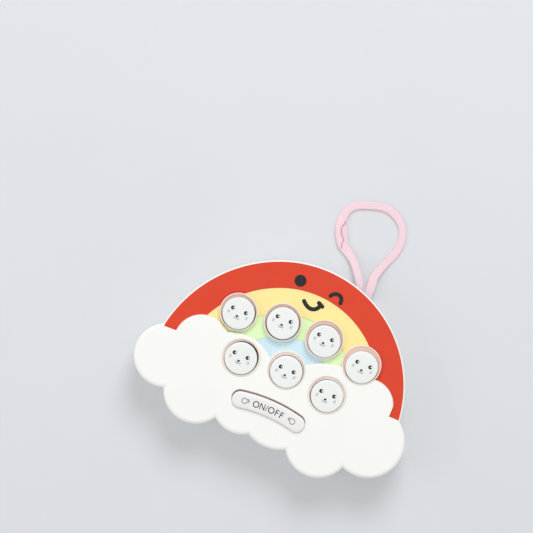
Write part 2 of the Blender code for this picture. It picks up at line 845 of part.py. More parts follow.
def smooth_route(knots):
    """Evenly spaced points, two diameters apart, read from a smooth curve through the knots."""
    dense = []
    padded = [knots[0] * 2 - knots[1], *knots, knots[-1] * 2 - knots[-2]]
    for before, start, end, after in zip(padded, padded[1:], padded[2:], padded[3:]):
        for index in range(16):
            t = index / 16
            bend = start * 2 + (end - before) * t + (before * 2 - start * 5 + end * 4 - after) * t**2
            dense.append((bend + (start * 3 - before - end * 3 + after) * t**3) / 2)
    dense.append(knots[-1])
    lengths = [0.0]
    for first, second in zip(dense, dense[1:]):
        lengths.append(lengths[-1] + (second - first).length)
    count = round(lengths[-1] / (2 * strap_diameter))
    points, spot = [], 0
    for index in range(count):
        target = lengths[-1] * index / count
        while lengths[spot + 1] < target:
            spot += 1
        share = (target - lengths[spot]) / (lengths[spot + 1] - lengths[spot])
        points.append(dense[spot].lerp(dense[spot + 1], share))
    return [*points, knots[-1]]


def make_light_caps():
    """Seven frosted caps, each a thin cup with a flange below its collar and a post over its switch."""
    frosted = finish("frosted_cap", (0.86, 0.89, 0.90, 1), 0.45)
    droop = Vector((math.cos(droop_angle), math.sin(droop_angle))) * cap_droop
    inner = cap_radius - cap_wall
    roof = cap_top - cap_top_wall
    edge = cap_edge_radius
    profile = [
        (0, cap_post_bottom),
        (post_radius, cap_post_bottom),
        (post_radius, roof),
        (inner, roof),
        (inner, flange_bottom),
        (flange_radius, flange_bottom),
        (flange_radius, flange_top),
        (cap_radius, flange_top),
        (cap_radius, cap_top - cap_edge_radius),
        (cap_radius - edge * slant_share, cap_top - edge * slant_share),
        (cap_radius - edge, cap_top),
        (0, cap_top),
    ]
    for number, place in enumerate(button_places(), 1):
        mesh = bmesh.new()
        add_turned(mesh, profile)
        make_piece(f"light_cap_{number}", mesh, [frosted], (*(place + droop), 0))


def make_power_button():
    """A long bent key, hollow below, with a post over its switch."""
    roof = cap_top - power_top_wall
    edge = cap_edge_radius
    rings = [
        at_height(slot_outline(-power_side_wall), roof),
        at_height(slot_outline(-power_side_wall), flange_bottom),
        at_height(slot_outline(power_flange_width), flange_bottom),
        at_height(slot_outline(power_flange_width), flange_top),
        at_height(slot_outline(0), flange_top),
        at_height(slot_outline(0), cap_top - edge),
        at_height(slot_outline(-edge * slant_share), cap_top - edge * slant_share),
        at_height(slot_outline(-edge), cap_top),
    ]
    mesh = bmesh.new()
    add_loft(mesh, rings)
    button = make_piece("power_button", mesh, [finish("grey_white_key", (0.80, 0.82, 0.85, 1), 0.4)])
    mesh = bmesh.new()
    y = power_row_radius - row_focus_drop
    half = switch_width / 2 + 2 * fit_gap
    reach = power_half_width + power_flange_width + cut_overrun
    notch_top = switch_top + press_travel + fit_gap
    add_box(mesh, (-half, y - reach, flange_bottom - cut_overrun), (half, y + reach, notch_top))
    combine(button, make_tool("switch_notch", mesh), "DIFFERENCE")
    mesh = bmesh.new()
    add_rod(mesh, post_radius, cap_post_bottom, roof + weld_depth, (0, y))
    combine(button, make_tool("power_post", mesh), "UNION")


def make_switches():
    """A push switch under every cap and under the power button: a square body and the stem that is pressed."""
    body_finish = finish("switch_black", (0.03, 0.03, 0.03, 1), 0.5)
    stem_finish = finish("switch_stem", (0.55, 0.08, 0.05, 1), 0.5)
    names = [f"switch_body_{number}" for number in range(1, 8)] + ["power_switch_body"]
    stems = [f"switch_stem_{number}" for number in range(1, 8)] + ["power_switch_stem"]
    places = button_places() + [Vector((0, power_row_radius - row_focus_drop))]
    half = switch_width / 2
    for name, stem_name, place in zip(names, stems, places):
        mesh = bmesh.new()
        rings = [
            at_height(rounded_ring(switch_bore), bore_floor),
            at_height(rounded_ring(switch_bore), switch_top),
            at_height(square_ring(half), switch_top),
            at_height(square_ring(half), switch_bottom),
        ]
        add_loft(mesh, rings)
        make_piece(name, mesh, [body_finish], (*place, 0))
        mesh = bmesh.new()
        add_rod(mesh, plunger_radius, plunger_bottom, plunger_top, sides=small_sides)
        make_piece(stem_name, mesh, [stem_finish], (*place, 0))


def rounded_ring(radius):
    return disc_outline(radius, small_sides)


def square_ring(half):
    """A square with as many points as a small circle, so that the two can be bridged."""
    points = []
    for spot in disc_outline(half, small_sides):
        points.append(spot * (half / max(abs(spot.x), abs(spot.y))))
    return points


def make_board():
    """The circuit board, trimmed to the case, with the drop of resin over its chip."""
    half_width, low, high = board_limits()
    mesh = bmesh.new()
    add_box(mesh, (-half_width, low, board_bottom), (half_width, high, board_top))
    board = make_piece("circuit_board", mesh, [finish("brown_laminate", (0.42, 0.22, 0.12, 1), 0.6)])
    mesh = bmesh.new()
    low_cut, high_cut = board_bottom - cut_overrun, board_top + cut_overrun
    add_prism(mesh, arch_outline_deep(wall + board_wall_clearance), low_cut, high_cut)
    combine(board, make_tool("board_trim", mesh), "INTERSECT")
    mesh = bmesh.new()
    for place in board_screw_places():
        add_rod(mesh, case_screw_radius + fit_gap, low_cut, high_cut, place)
    for place in board_peg_places():
        add_rod(mesh, peg_radius + fit_gap, low_cut, high_cut, place)
    combine(board, make_tool("board_holes", mesh), "DIFFERENCE")

    mesh = bmesh.new()
    top = board_bottom - fit_gap
    profile = [(0, top - chip_height)]
    for turn in resin_turns:
        angle = math.radians(turn)
        profile.append((chip_radius * math.sin(angle), top - chip_height * math.cos(angle)))
    profile += [(chip_radius, top), (0, top)]
    add_turned(mesh, profile, sides=small_sides)
    place = (button_places()[4].x, low + chip_radius + fit_gap, 0)
    make_piece("chip_resin", mesh, [finish("black_resin", (0.02, 0.02, 0.02, 1), 0.25)], place)

    lamp_finish = finish("lamp", (0.95, 0.90, 0.60, 1), 0.3)
    for number, spot in enumerate(button_places(), 1):
        mesh = bmesh.new()
        low_corner = (-lamp_length / 2, -lamp_width / 2, switch_bottom)
        add_box(mesh, low_corner, (lamp_length / 2, lamp_width / 2, switch_bottom + lamp_height))
        make_piece(f"lamp_{number}", mesh, [lamp_finish], (spot.x, spot.y + lamp_offset, 0))


def arch_outline_deep(inset):
    """The arch's outline with straight sides down to below the board."""
    points = arch_outline(inset)
    drop = Vector((0, arch_radius))
    return [points[0] - drop, *points, points[-1] - drop]


def make_batteries():
    """Three button cells side by side, the middle one turned over, and the four contacts that link them."""
    steel = finish("steel", (0.6, 0.6, 0.62, 1), 0.3, 1.0)
    rim = cell_radius - cell_cap_inset
    up = [
        (0, cell_bottom),
        (rim, cell_bottom),
        (rim, cell_bottom + cell_cap_height),
        (cell_radius, cell_bottom + cell_cap_height),
        (cell_radius, cell_top),
        (0, cell_top),
    ]
    down = [(radius, cell_bottom + cell_top - height) for radius, height in reversed(up)]
    for number, profile in enumerate((up, down, up), 1):
        mesh = bmesh.new()
        add_turned(mesh, profile)
        place = ((number - 2) * cell_pitch, bay_centre_y, 0)
        make_piece(f"button_cell_{number}", mesh, [steel], place)

    half = contact_width / 2
    tip = cell_radius / 2
    spring = finish("nickel_contact", (0.75, 0.73, 0.68, 1), 0.35, 1.0)
    strips = {
        "contact_plus": (-cell_pitch - tip, -cell_pitch + tip, roof_contact_bottom),
        "contact_link_roof": (-tip, cell_pitch + tip, roof_contact_bottom),
        "contact_link_door": (-cell_pitch - tip, tip, bay_ledge_z),
        "contact_minus": (cell_pitch - tip, cell_pitch + tip, bay_ledge_z),
    }
    for name, (low_x, high_x, height) in strips.items():
        mesh = bmesh.new()
        low = (low_x, bay_centre_y - half, height)
        add_box(mesh, low, (high_x, bay_centre_y + half, height + contact_thickness))
        make_piece(name, mesh, [spring])


def make_battery_door():
    """The door with its two tabs, and the ear and cup for its screw. Its origin is on its swing edge."""
    hinge_y = bay_centre_y + door_half_width
    mesh = bmesh.new()
    outline = [point - Vector((0, hinge_y)) for point in door_outline(0)]
    add_prism(mesh, outline, door_recess, door_top)
    door = make_piece("battery_door", mesh, [finish("white_plastic", white, 0.35)], (0, hinge_y, 0))
    mesh = bmesh.new()
    cup_radius = bay_screw_head_radius + fit_gap + boss_wall
    ear_place = (0, ear_y - hinge_y)
    add_rod(mesh, cup_radius, door_top - weld_depth, door_recess + ear_cup_depth + ear_shelf, ear_place)
    tab_bottom = floor_wall + fit_gap
    for side in (-1, 1):
        left, right = side * tab_offset - tab_width / 2, side * tab_offset + tab_width / 2
        profile = [
            (-bay_ledge, door_top - weld_depth),
            (-fit_gap, door_top - weld_depth),
            (-fit_gap, tab_bottom),
            (tab_reach, tab_bottom),
            (tab_reach, tab_bottom + tab_thickness),
            (-bay_ledge, tab_bottom + tab_thickness),
        ]
        rings = [[Vector((x, y, z)) for y, z in profile] for x in (left, right)]
        add_loft(mesh, rings)
    tabs = make_tool("door_cup_and_tabs", mesh)
    tabs.location = door.location
    combine(door, tabs, "UNION")
    mesh = bmesh.new()
    add_rod(mesh, bay_screw_head_radius + fit_gap, -cut_overrun, door_recess + ear_cup_depth, ear_place)
    head_room = make_tool("door_head_room", mesh)
    head_room.location = door.location
    combine(door, head_room, "DIFFERENCE")
    mesh = bmesh.new()
    add_rod(mesh, bay_screw_radius + fit_gap, door_recess, bay_screw_depth, ear_place)
    shank_room = make_tool("door_shank_room", mesh)
    shank_room.location = door.location
    combine(door, shank_room, "DIFFERENCE")
    return door


def make_screw(name, place, head_radius, head_height, shank_radius, head_bottom, tip):
    """A pan-headed screw, head down, with a cross recess in its head."""
    mesh = bmesh.new()
    head_top = head_bottom + head_height
    profile = [
        (0, head_bottom),
        (head_radius * pan_flat_share, head_bottom),
        (head_radius, head_bottom + head_height * slant_share),
        (head_radius, head_top),
        (shank_radius, head_top),
        (shank_radius, tip - shank_radius),
        (0, tip),
    ]
    add_turned(mesh, profile, sides=small_sides)
    screw = make_piece(name, mesh, [finish("steel", (0.6, 0.6, 0.62, 1), 0.3, 1.0)], (*place, 0))
    mesh = bmesh.new()
    arm, half = head_radius * cross_length_share, head_radius * cross_width_share / 2
    outline = []
    for quarter in range(4):
        turn = Matrix.Rotation(quarter * math.pi / 2, 2)
        for corner in ((half, half), (half, arm), (-half, arm)):
            outline.append(turn @ Vector(corner))
    add_prism(mesh, outline, head_bottom - cut_overrun, head_bottom + head_height * cross_depth_share)
    tool = make_tool(f"{name}_cross", mesh)
    tool.location = screw.location
    combine(screw, tool, "DIFFERENCE")


def make_screws():
    """Four case screws, two board screws and the captive screw of the battery door."""
    for number, place in enumerate(case_boss_places(), 1):
        head_top = case_head_sink + case_head_height
        tip = head_top + case_shelf + 2 * fit_gap + case_screw_reach
        make_screw(f"case_screw_{number}", place, case_head_radius, case_head_height,
                   case_screw_radius, case_head_sink, tip)
    for number, place in enumerate(board_screw_places(), 1):
        head_bottom = board_bottom - fit_gap - board_head_height
        make_screw(f"board_screw_{number}", place, case_head_radius, board_head_height,
                   case_screw_radius, head_bottom, board_top + board_screw_reach)
    head_bottom = door_recess + ear_cup_depth - fit_gap - bay_screw_head_height
    make_screw("door_screw", (0, ear_y), bay_screw_head_radius, bay_screw_head_height,
               bay_screw_radius, head_bottom, bay_screw_depth)


def make_speaker():
    """A small loudspeaker, face down over the grille."""
    low = floor_wall + fit_gap
    rim_top = low + speaker_rim_height
    profile = [
        (0, low),
        (speaker_radius, low),
        (speaker_radius, rim_top),
        (magnet_radius, rim_top),
        (magnet_radius, rim_top + magnet_height),
        (0, rim_top + magnet_height),
    ]
    mesh = bmesh.new()
    add_turned(mesh, profile)
    place = (0, power_row_radius - row_focus_drop, 0)
    make_piece("loudspeaker", mesh, [finish("speaker_grey", (0.15, 0.15, 0.16, 1), 0.5)], place)


def place_toy_centre():
    """An empty that brings the middle of the outline to the origin."""
    outline = arch_outline(0) + cloud_outline(0)
    low_x, high_x = min(p.x for p in outline), max(p.x for p in outline)
    low_y, high_y = min(p.y for p in outline), max(p.y for p in outline)
    centre = bpy.data.objects.new("toy_centre", None)
    centre.location = (-(low_x + high_x) / 2, -(low_y + high_y) / 2, 0)
    bpy.context.scene.collection.objects.link(centre)
    print(f"arch centre at {centre.location.x * 1000:.4f}, {centre.location.y * 1000:.4f} mm")


def main():
    for leftover in list(bpy.data.objects):
        bpy.data.objects.remove(leftover)
    place_toy_centre()
    make_front_shell()
    make_back_shell()
    make_strap()
    make_light_caps()
    make_power_button()
    make_switches()
    make_board()
    make_batteries()
    make_battery_door()
    make_screws()
    make_speaker()


main()
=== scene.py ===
"""Handheld light game: a rainbow that stands in a cloud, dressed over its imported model.

Lengths are in millimetres and become metres where a mesh is made, and angles are in degrees.
The front face looks up along +Z, and the rainbow's top lies along +Y. Plan places are measured
from the centre of the rainbow's arch.
"""

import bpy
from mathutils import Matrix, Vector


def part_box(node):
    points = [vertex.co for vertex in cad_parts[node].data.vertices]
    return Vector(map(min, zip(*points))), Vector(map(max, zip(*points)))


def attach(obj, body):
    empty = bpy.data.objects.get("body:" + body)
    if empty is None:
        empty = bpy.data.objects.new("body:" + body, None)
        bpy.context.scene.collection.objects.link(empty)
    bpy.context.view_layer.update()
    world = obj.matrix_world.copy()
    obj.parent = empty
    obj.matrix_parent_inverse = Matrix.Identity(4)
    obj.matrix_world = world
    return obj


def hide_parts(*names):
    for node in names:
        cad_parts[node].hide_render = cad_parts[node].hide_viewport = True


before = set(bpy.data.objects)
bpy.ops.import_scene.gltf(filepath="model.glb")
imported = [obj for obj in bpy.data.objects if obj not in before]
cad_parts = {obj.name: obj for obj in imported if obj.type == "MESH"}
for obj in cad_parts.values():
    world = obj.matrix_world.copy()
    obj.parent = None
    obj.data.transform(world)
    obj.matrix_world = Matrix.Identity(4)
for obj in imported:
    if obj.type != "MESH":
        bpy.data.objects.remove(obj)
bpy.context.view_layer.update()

import math

import bmesh
import bpy
from mathutils import Matrix, Vector, kdtree

bl_info = {
    "name": "Rainbow light game",
    "version": (1, 0, 0),
    "blender": (4, 5, 0),
    "location": "3D View > Sidebar > Light game",
    "description": "Dresses the packed light game with its mouldings, caps, prints and strap",
    "category": "Object",
}

mm = 0.001

# Where the arch's centre lies in the model
arch_centre = Vector((1.3997, -8.9817))

# The camera: the place in the model that it looks down on, its turn, its distance and its view's width
view_centre = Vector((-18.69, 25.75))
view_turn = 23.7
view_distance = 950
view_width = 178.6

# The lamps: place and width in metres, and power in watts
lamps = (
    ("key_light", Vector((-0.10, 0.62, 0.75)), 0.5, 3.6),
    ("fill_light", Vector((-0.75, -0.35, 0.7)), 0.8, 1.3),
)

# The white room's strength on the object, and as the camera sees it
room_light = 0.68
room_seen = 0.98

# Outlines as the solids have them, with finer arcs. The key's ends reach a little further out and
# the lobe behind the sixth cap is a little smaller.
arch_radius = 42.0
arch_left_share = 1.104
arch_join = 113
arch_skirt = 3.0
arch_step = 1.5
lobe_step = 3.0
cloud_lobe_shares = (
    (0.826, -0.124, 0.293, 1.0),
    (0.702, 0.143, 0.207, 0.5),
    (0.452, -0.214, 0.555, 0.5),
    (0.000, 0.129, 0.167, 0.5),
    (-0.393, -0.095, 0.357, 0.5),
    (-0.710, 0.062, 0.226, 0.5),
    (-0.930, -0.145, 0.257, 1.0),
    (-0.593, -0.305, 0.264, 1.0),
    (-0.210, -0.245, 0.252, 1.0),
    (0.083, -0.167, 0.329, 1.0),
    (0.471, -0.307, 0.267, 1.0),
)
key_row_radius = 50.4
key_row_focus = 58.9
key_half_width = 2.8
key_half_length = 13.15

# Heights of the front, from the back face, and one above all of it for what cuts through
parting = 9.6
tongue_height = 1.2
sleeve_bottom = 14.1
panel_underside = 14.8
blue_level = 16.0
green_level = 16.3
yellow_level = 16.6
red_level = 16.9
cloud_underside = 16.5
cloud_level = 18.1
collar_level = 18.5
flange_bottom = 13.0
flange_top = 13.8
post_bottom = 14.8
above_all = 25

# Walls, bands, fits, the collars' and buttons' radii, the room round the key and the cloud's edge
wall = 1.8
floor_wall = 1.6
tongue = 0.75
fit = 0.3
white_rim = 0.5
bands = (("red", 8.8, red_level), ("yellow", 8.7, yellow_level), ("green", 7.4, green_level))
collar_base = 6.5
collar_hole = 6.3
sleeve_radius = 6.15
flange_radius = 6.6
key_room = 0.95
cloud_drop = 1.3

# The step from a band down to the next one: how far before its end and how far below the band
band_step = ((0.30, 0), (0.20, 0.03), (0.08, 0.255), (0, 0.3))

# The plans that end the red band on the left and the right
red_ends = (
    ((-43.5, 2.75), (-39.2, 3.0), (-38.9, 5.3), (-38.2, 7.2), (-38.2, 8), (-43.5, 8)),
    ((37.6, 5.2), (42, 5.2), (42, 9), (37.6, 9)),
)

# Ledges in a band's colour beside the first collar: their level and their first and last angle
ledges = (("yellow", 17.3, 195, 262), ("green", 17.25, 260, 300))
ledge_inner = 5.9
ledge_outer = 7.05

# The back: the battery bay's middle line, its cover, the cover's screw and tabs, and the strap's bar
bay_y = 13.5
door_half_length = 19.4
door_half_width = 7.2
ear_y = 4.1
tab_place = 11.0
strap_turn = -19
bar_row = 38.4
bar_height = 3.6

# The way towards the strap, and how far the collars' seats lie from their caps that way
strap_way = 113.7
collar_offset = 0.3

# Each collar: its mouth's radius, how far the mouth lies towards the strap, the gap's shift and
# width, and the lip's width as a share of its profile. Then how far the face lies from its cap's middle.
collars = (
    (5.97, 0.44, (0.10, -0.086), 0.16, 1, (-0.10, -0.39)),
    (6.02, 0.31, (0.04, -0.09), 0.22, 1, (-0.14, 0.01)),
    (6.15, 0.66, (-0.024, 0.055), 0.09, 1, (-0.19, 0.01)),
    (6.20, 0.735, (-0.01, 0.02), 0.05, 1, (0.27, -0.28)),
    (5.96, 0.40, (0.24, 0.11), 0.29, 1, (-0.34, -0.40)),
    (6.00, 0.53, (-0.013, 0.09), 0.11, 0.6, (-0.04, -0.55)),
    (6.00, 0.53, (-0.106, 0.015), 0.11, 1, (-0.13, -0.58)),
)

# The collars' lips: how far out from the mouth and how far below the top
banded_lip = ((0.46, 0.60), (0.40, 0.16), (0.32, 0.03), (0.21, 0.00), (0.08, 0.07))
cloud_lip = (
    (0.98, 0.56), (0.78, 0.385), (0.60, 0.31), (0.44, 0.18), (0.30, 0.05), (0.19, 0.00), (0.07, 0.06),
)

# The slot's edge: how far out from the key all round, how much more towards the strap, and its height
key_slot = (
    (0.35, 0, sleeve_bottom, "collar"),
    (1.05, 0, sleeve_bottom, "collar"),
    (1.05, 0, cloud_level - 0.1, "case"),
    (0.97, 0, cloud_level + 0.012, "case"),
    # The inner wall is painted shade: pale pink-brown above, deeper pink-brown low down
    (0.10, 0.76, cloud_level + 0.012, "low_sleeve"),
    (0.06, 0.59, cloud_level - 0.05, "low_sleeve"),
    (0.03, 0.52, cloud_level - 0.2, "low_sleeve"),
    (0.03, 0.50, 16.3, "low_sleeve"),
    (0.03, 0.02, 16.2, "sleeve"),
    (0.35, 0, 16.0, "sleeve"),
)

# The key's letters: how far along its middle line, and their width as a share
key_letters = (
    ("O", -4.76, 0.97), ("N", -2.50, 0.84), ("/", -0.98, 0.9),
    ("O", 0.70, 0.97), ("F", 2.76, 0.95), ("F", 4.48, 0.95),
)

# The strap's route from the bar and back to it, in the order of the solid's points
strap_route = (
    (11.42, 38.70, 3.6), (11.65, 39.95, 3.6), (11.15, 42.10, 3.5), (9.30, 44.70, 3.0), (6.90, 47.40, 2.2),
    (3.90, 49.60, 1.6), (0.60, 51.50, 1.5), (-1.80, 54.80, 1.5), (-3.20, 58.60, 1.5), (-2.90, 62.40, 1.5),
    (-0.80, 65.60, 1.5), (3.30, 67.70, 1.5), (8.70, 69.20, 1.5), (13.00, 68.40, 1.5), (16.70, 65.70, 1.5),
    (18.50, 61.50, 1.5), (18.40, 56.70, 1.5), (16.60, 51.60, 1.7), (15.00, 46.40, 2.4), (15.20, 43.00, 3.2),
    (15.25, 38.80, 3.6), (14.76, 37.33, 3.6),
)
strap_spacing = 0.5
rib_spacing = 0.45
yarn_share = 0.6

# How far from its ends the band comes down on the table
strap_landing = (8, 18)

# The strap along its length: its width as a share, the fold's crease across it from its right edge
# at -1 to its left edge at 1, how far the folded part is raised, and how far the band lies to the right
strap_widths = (
    (4, 0.82), (10, 0.84), (14, 0.96), (17.2, 1.16), (19.6, 1.34), (22.2, 1.42), (24.4, 1.40),
    (26.2, 1.22), (29.8, 0.98), (36, 0.9), (60, 0.88), (68, 0.84), (76, 1.0),
)
strap_crease = (
    (17.2, 0.95), (18.0, 0.35), (19.9, -0.27), (22.2, -0.07), (24.2, -0.06), (25.4, -0.38), (26.4, -0.95),
)
strap_fold = ((16.8, 0.0), (17.6, 1.0), (25.6, 1.0), (28.5, 0.0))
strap_shift = ((7, 0.0), (13, 0.3), (17, 0.45), (20, 0.72), (24, 0.75), (27, 0.5), (33, 0.0))
fold_rise = 0.55

# The fold's shade lies between these two corners of the section, where this share of the rise is reached
crease_columns = {8, 9}
shade_from = 0.3

# Moulded plastics and coats: name, colour, roughness, the grain's width and depth, the darker shade's share
# and the softness
plastics = {
    # ABS, satin from a spark-eroded tool
    "case": ("abs_white", "case", 0.42, 0.16, 0.004, 0.985, 0),
    "collar": ("abs_collar", "collar", 0.38, 0.16, 0.003, 0.985, 0),
    "key": ("abs_key", "key", 0.36, 0.18, 0.003, 0.98, 0),
    # The same ABS deep in the holes, painted pink-brown for their shade and the brown board's bounce light
    "sleeve": ("abs_sleeve", "sleeve", 0.5, 0.16, 0.003, 0.9, 0),
    "low_sleeve": ("abs_low_sleeve", "low_sleeve", 0.5, 0.16, 0.003, 0.95, 0),
    # Soft dull silicone, seen only down the gaps, painted pink-brown for the shade there
    "skirt": ("silicone_skirt", "skirt", 0.5, 0.3, 0.003, 0.92, 0.2),
    # Frosted polypropylene, cloudy so that the lamp's light spreads in it
    "cap": ("frosted_polypropylene", "cap", 0.42, 0.22, 0.003, 0.975, 0.25),
    # Dull glass-filled nylon
    "switch": ("switch_nylon_black", "#202124", 0.45, 0.12, 0.003, 0.8, 0),
    "stem": ("stem_nylon_red", "#93352A", 0.4, 0.12, 0.002, 0.85, 0),
    # Cast epoxy, glossy as it sets, cloudy in the lamps and lumpy over the chip
    "lamp": ("lamp_epoxy", "#F3E9C9", 0.15, 0.4, 0.001, 0.95, 0.3),
    "resin": ("epoxy_black", "#17181A", 0.2, 0.9, 0.01, 0.8, 0),
    # Steel under a dull powder coat
    "speaker": ("speaker_coated_steel", "#3C3E42", 0.45, 0.1, 0.002, 0.85, 0),
}

# Inks: name and colour
inks = {
    "red": ("ink_red", "red"),
    "yellow": ("ink_yellow", "yellow"),
    "green": ("ink_green", "green"),
    "blue": ("ink_blue", "blue"),
    "ink": ("pad_print_black", "ink"),
    "ink_white": ("pad_print_white", "#F4F4F4"),
    "ink_grey": ("pad_print_grey", "#9AA0A4"),
}

# The finish of each solid, by the start of its name
solid_looks = {
    "case": ("battery_door", "back_shell", "front_shell"),
    "steel": ("strap_bar", "button_cell", "board_screw", "case_screw", "door_screw"),
    "nickel": ("contact_",),
    "laminate": ("circuit_board",),
    "resin": ("chip_resin",),
    "lamp": ("lamp_",),
    "switch": ("switch_body", "power_switch_body"),
    "stem": ("switch_stem", "power_switch_stem"),
    "speaker": ("loudspeaker",),
    "strap": ("wrist_strap",),
    "cap": ("light_cap",),
    "key": ("power_button",),
}


def linear(code):
    """The linear colour of an sRGB hex value."""
    shares = [int(code[place:place + 2], 16) / 255 for place in (1, 3, 5)]
    return [share / 12.92 if share <= 0.04045 else ((share + 0.055) / 1.055) ** 2.4 for share in shares]


def length_setting(name, default, description):
    return bpy.props.FloatProperty(name=name, default=default * mm, description=description, unit="LENGTH")


def colour_setting(name, code, description):
    return bpy.props.FloatVectorProperty(
        name=name, default=linear(code), description=description, subtype="COLOR", min=0, max=1)


class GameSizes(bpy.types.PropertyGroup):
    """Sizes of the game's dressed pieces."""

    cap_radius: length_setting("Cap radius", 5.45, "Half the width of a light cap")
    cap_edge: length_setting("Cap edge", 0.5, "Rounding of a light cap's upper edge")
    cap_crown: length_setting("Cap crown", 0.12, "How far a light cap's top swells in its middle")
    cloud_edge: length_setting("Cloud edge", 1.4, "Width of the cloud's soft round edge")
    strap_width: length_setting("Strap width", 3.0, "Width of the flat wrist strap")
    strap_thickness: length_setting("Strap thickness", 0.9, "Thickness of the flat wrist strap")
    print_relief: length_setting("Print relief", 0.03, "How far a print stands over its surface")


class GameColours(bpy.types.PropertyGroup):
    """Colours of the game's finishes."""

    case: colour_setting("Case", "#F8F8F5", "White plastic of the cloud and the back")
    collar: colour_setting("Collars", "#F3EEE4", "Raised rings round the buttons")
    # The sleeves and skirts are painted shade: pink-brown for the holes' shade and the board's bounce light
    sleeve: colour_setting("Sleeves", "#EECBBD", "Inside of the upper rings, tinted by the board below")
    low_sleeve: colour_setting("Lower sleeves", "#F6E3DD", "Inside of the lower rings, less tinted")
    skirt: colour_setting("Cap skirts", "#EBC6BB", "Soft skirt of the caps, seen down the gaps")
    red: colour_setting("Red band", "#DE3D19", "Ink of the outer band")
    yellow: colour_setting("Yellow band", "#FDEC9F", "Ink of the second band")
    green: colour_setting("Green band", "#E2FCC3", "Ink of the third band")
    blue: colour_setting("Blue band", "#D3EDF9", "Ink of the inner band")
    cap: colour_setting("Light caps", "#EFF2F0", "Frosted plastic of the light caps")
    key: colour_setting("Power key", "#EFEEED", "Plastic of the power key")
    ink: colour_setting("Dark print", "#151515", "Faces and lettering")
    strap: colour_setting("Strap", "#FCDDE6", "Woven wrist strap")
    strap_shade: colour_setting("Strap's fold", "#D9829A", "Woven wrist strap in the shade of its fold")
    floor: colour_setting("Floor", "#DCDFE3", "Plain floor under the game")


def size(name):
    """One of the game's sizes."""
    return getattr(bpy.context.scene.game_sizes, name) / mm


def tone(source):
    """One of the game's colours by name, or a fixed one by its hex value."""
    return linear(source) if source.startswith("#") else getattr(bpy.context.scene.game_colours, source)


def ray(angle, length=1.0):
    """The plan step of this length in this direction."""
    turn = math.radians(angle)
    return Vector((math.cos(turn), math.sin(turn))) * length


def heading(step):
    """The direction of a plan step."""
    return math.degrees(math.atan2(step.y, step.x))


def arc(centre, radius, start, end, count, squash=1.0):
    """Plan points from angle to angle on an arc, which may be squashed in height."""
    points = []
    for index in range(count + 1):
        x, y = ray(start + (end - start) * index / count, radius)
        points.append(Vector((centre[0] + x, centre[1] + y * squash)))
    return points


def circle(radius, centre, sides=96, squash=1.0):
    return arc(centre, radius, 0, 360, sides, squash)[:-1]


def corner_arcs(centre, half_length, half_width, corner, count):
    """The four round corners of a rectangle, in turn from its upper right one."""
    arcs = []
    for quarter, (side_x, side_y) in enumerate(((1, 1), (-1, 1), (-1, -1), (1, -1))):
        hub = (centre[0] + side_x * (half_length - corner), centre[1] + side_y * (half_width - corner))
        arcs.append(arc(hub, corner, 90 * quarter, 90 * quarter + 90, count))
    return arcs


def arch_outline(inset):
    """The rainbow's arch, closed by a straight skirt that lies inside the cloud."""
    right_radius = arch_radius - inset
    left_radius = arch_radius * arch_left_share - inset
    left_centre = ray(arch_join, arch_radius * (1 - arch_left_share))
    start = -math.degrees(math.asin(arch_skirt / right_radius))
    end = 180 - math.degrees(math.asin((-arch_skirt - left_centre.y) / left_radius))
    right = arc((0, 0), right_radius, start, arch_join, round(arch_join / arch_step))
    left = arc(left_centre, left_radius, arch_join, end, round((180 - arch_join) / arch_step))
    return right[:-1] + left


def cloud_lobes(inset):
    """The lobes' centres and radii, drawn in by the inset."""
    return [(Vector((x, y)) * arch_radius, radius * arch_radius - inset * share)
            for x, y, radius, share in cloud_lobe_shares]


def lobe_crossing(first, second):
    """Where two neighbouring lobes meet, on the cloud's outer side."""
    centre, radius = first
    span = second[0] - centre
    along = (span.length_squared + radius**2 - second[1] ** 2) / (2 * span.length)
    aside = math.sqrt(max(radius**2 - along**2, 0))
    direction = span.normalized()
    return centre + direction * along + Vector((direction.y, -direction.x)) * aside


def lobe_sweeps(lobes):
    """Each lobe's first angle and how far its arc turns."""
    sweeps = []
    for before, lobe, after in zip(lobes[-1:] + lobes, lobes, lobes[1:] + lobes[:1]):
        start = heading(lobe_crossing(before, lobe) - lobe[0])
        sweeps.append((start, (heading(lobe_crossing(lobe, after) - lobe[0]) - start) % 360))
    return sweeps


def cloud_outline(inset):
    """The whole cloud, lobe after lobe, with as many points at any inset."""
    counts = [max(2, round(turn / lobe_step)) for _, turn in lobe_sweeps(cloud_lobes(0))]
    lobes = cloud_lobes(inset)
    points = []
    for (centre, radius), (start, turn), count in zip(lobes, lobe_sweeps(lobes), counts):
        points += arc(centre, radius, start, start + turn, count)[:-1]
    return points


def key_outline(grow):
    """The power key's bent outline, grown or drawn in on all sides."""
    half_width = key_half_width + grow
    reach = math.degrees((key_half_length - key_half_width) / key_row_radius)
    middle = Vector((0, -key_row_focus))
    points = []
    for side in (1, -1):
        turn = 90 - side * reach
        start = -side * (90 + reach)
        points += arc(middle + ray(turn, key_row_radius), half_width, start, start + 180, 28)
        points += arc(middle, key_row_radius + side * half_width, turn, 180 - turn, 24)[1:-1]
    return points


def key_place(along, inward=0.0):
    """A place on the key's bent middle line or inward of it, and the line's turn there in radians."""
    turn = -along / key_row_radius
    return Vector((0, -key_row_focus)) + ray(90 + math.degrees(turn), key_row_radius - inward), turn


def ear_outline(radius, neck):
    """The lower half of a circle about the door's screw, on straight sides from a line above it."""
    return [Vector((-radius, neck)), *arc((0, ear_y), radius, 180, 360, 24), Vector((radius, neck))]


def door_outline(grow):
    """The battery cover's plan: a rectangle with round corners, and a round ear in its lower edge."""
    half_width = door_half_width + grow
    lines = corner_arcs((0, bay_y), door_half_length + grow, half_width, 1.2 + grow, 8)
    lines.insert(3, ear_outline(3.4 + grow, bay_y - half_width))
    return sum(lines, [])


def with_neighbours(points):
    """Each point of a line between its neighbours, or itself where it has none."""
    return zip([points[0], *points], points, [*points[1:], points[-1]])


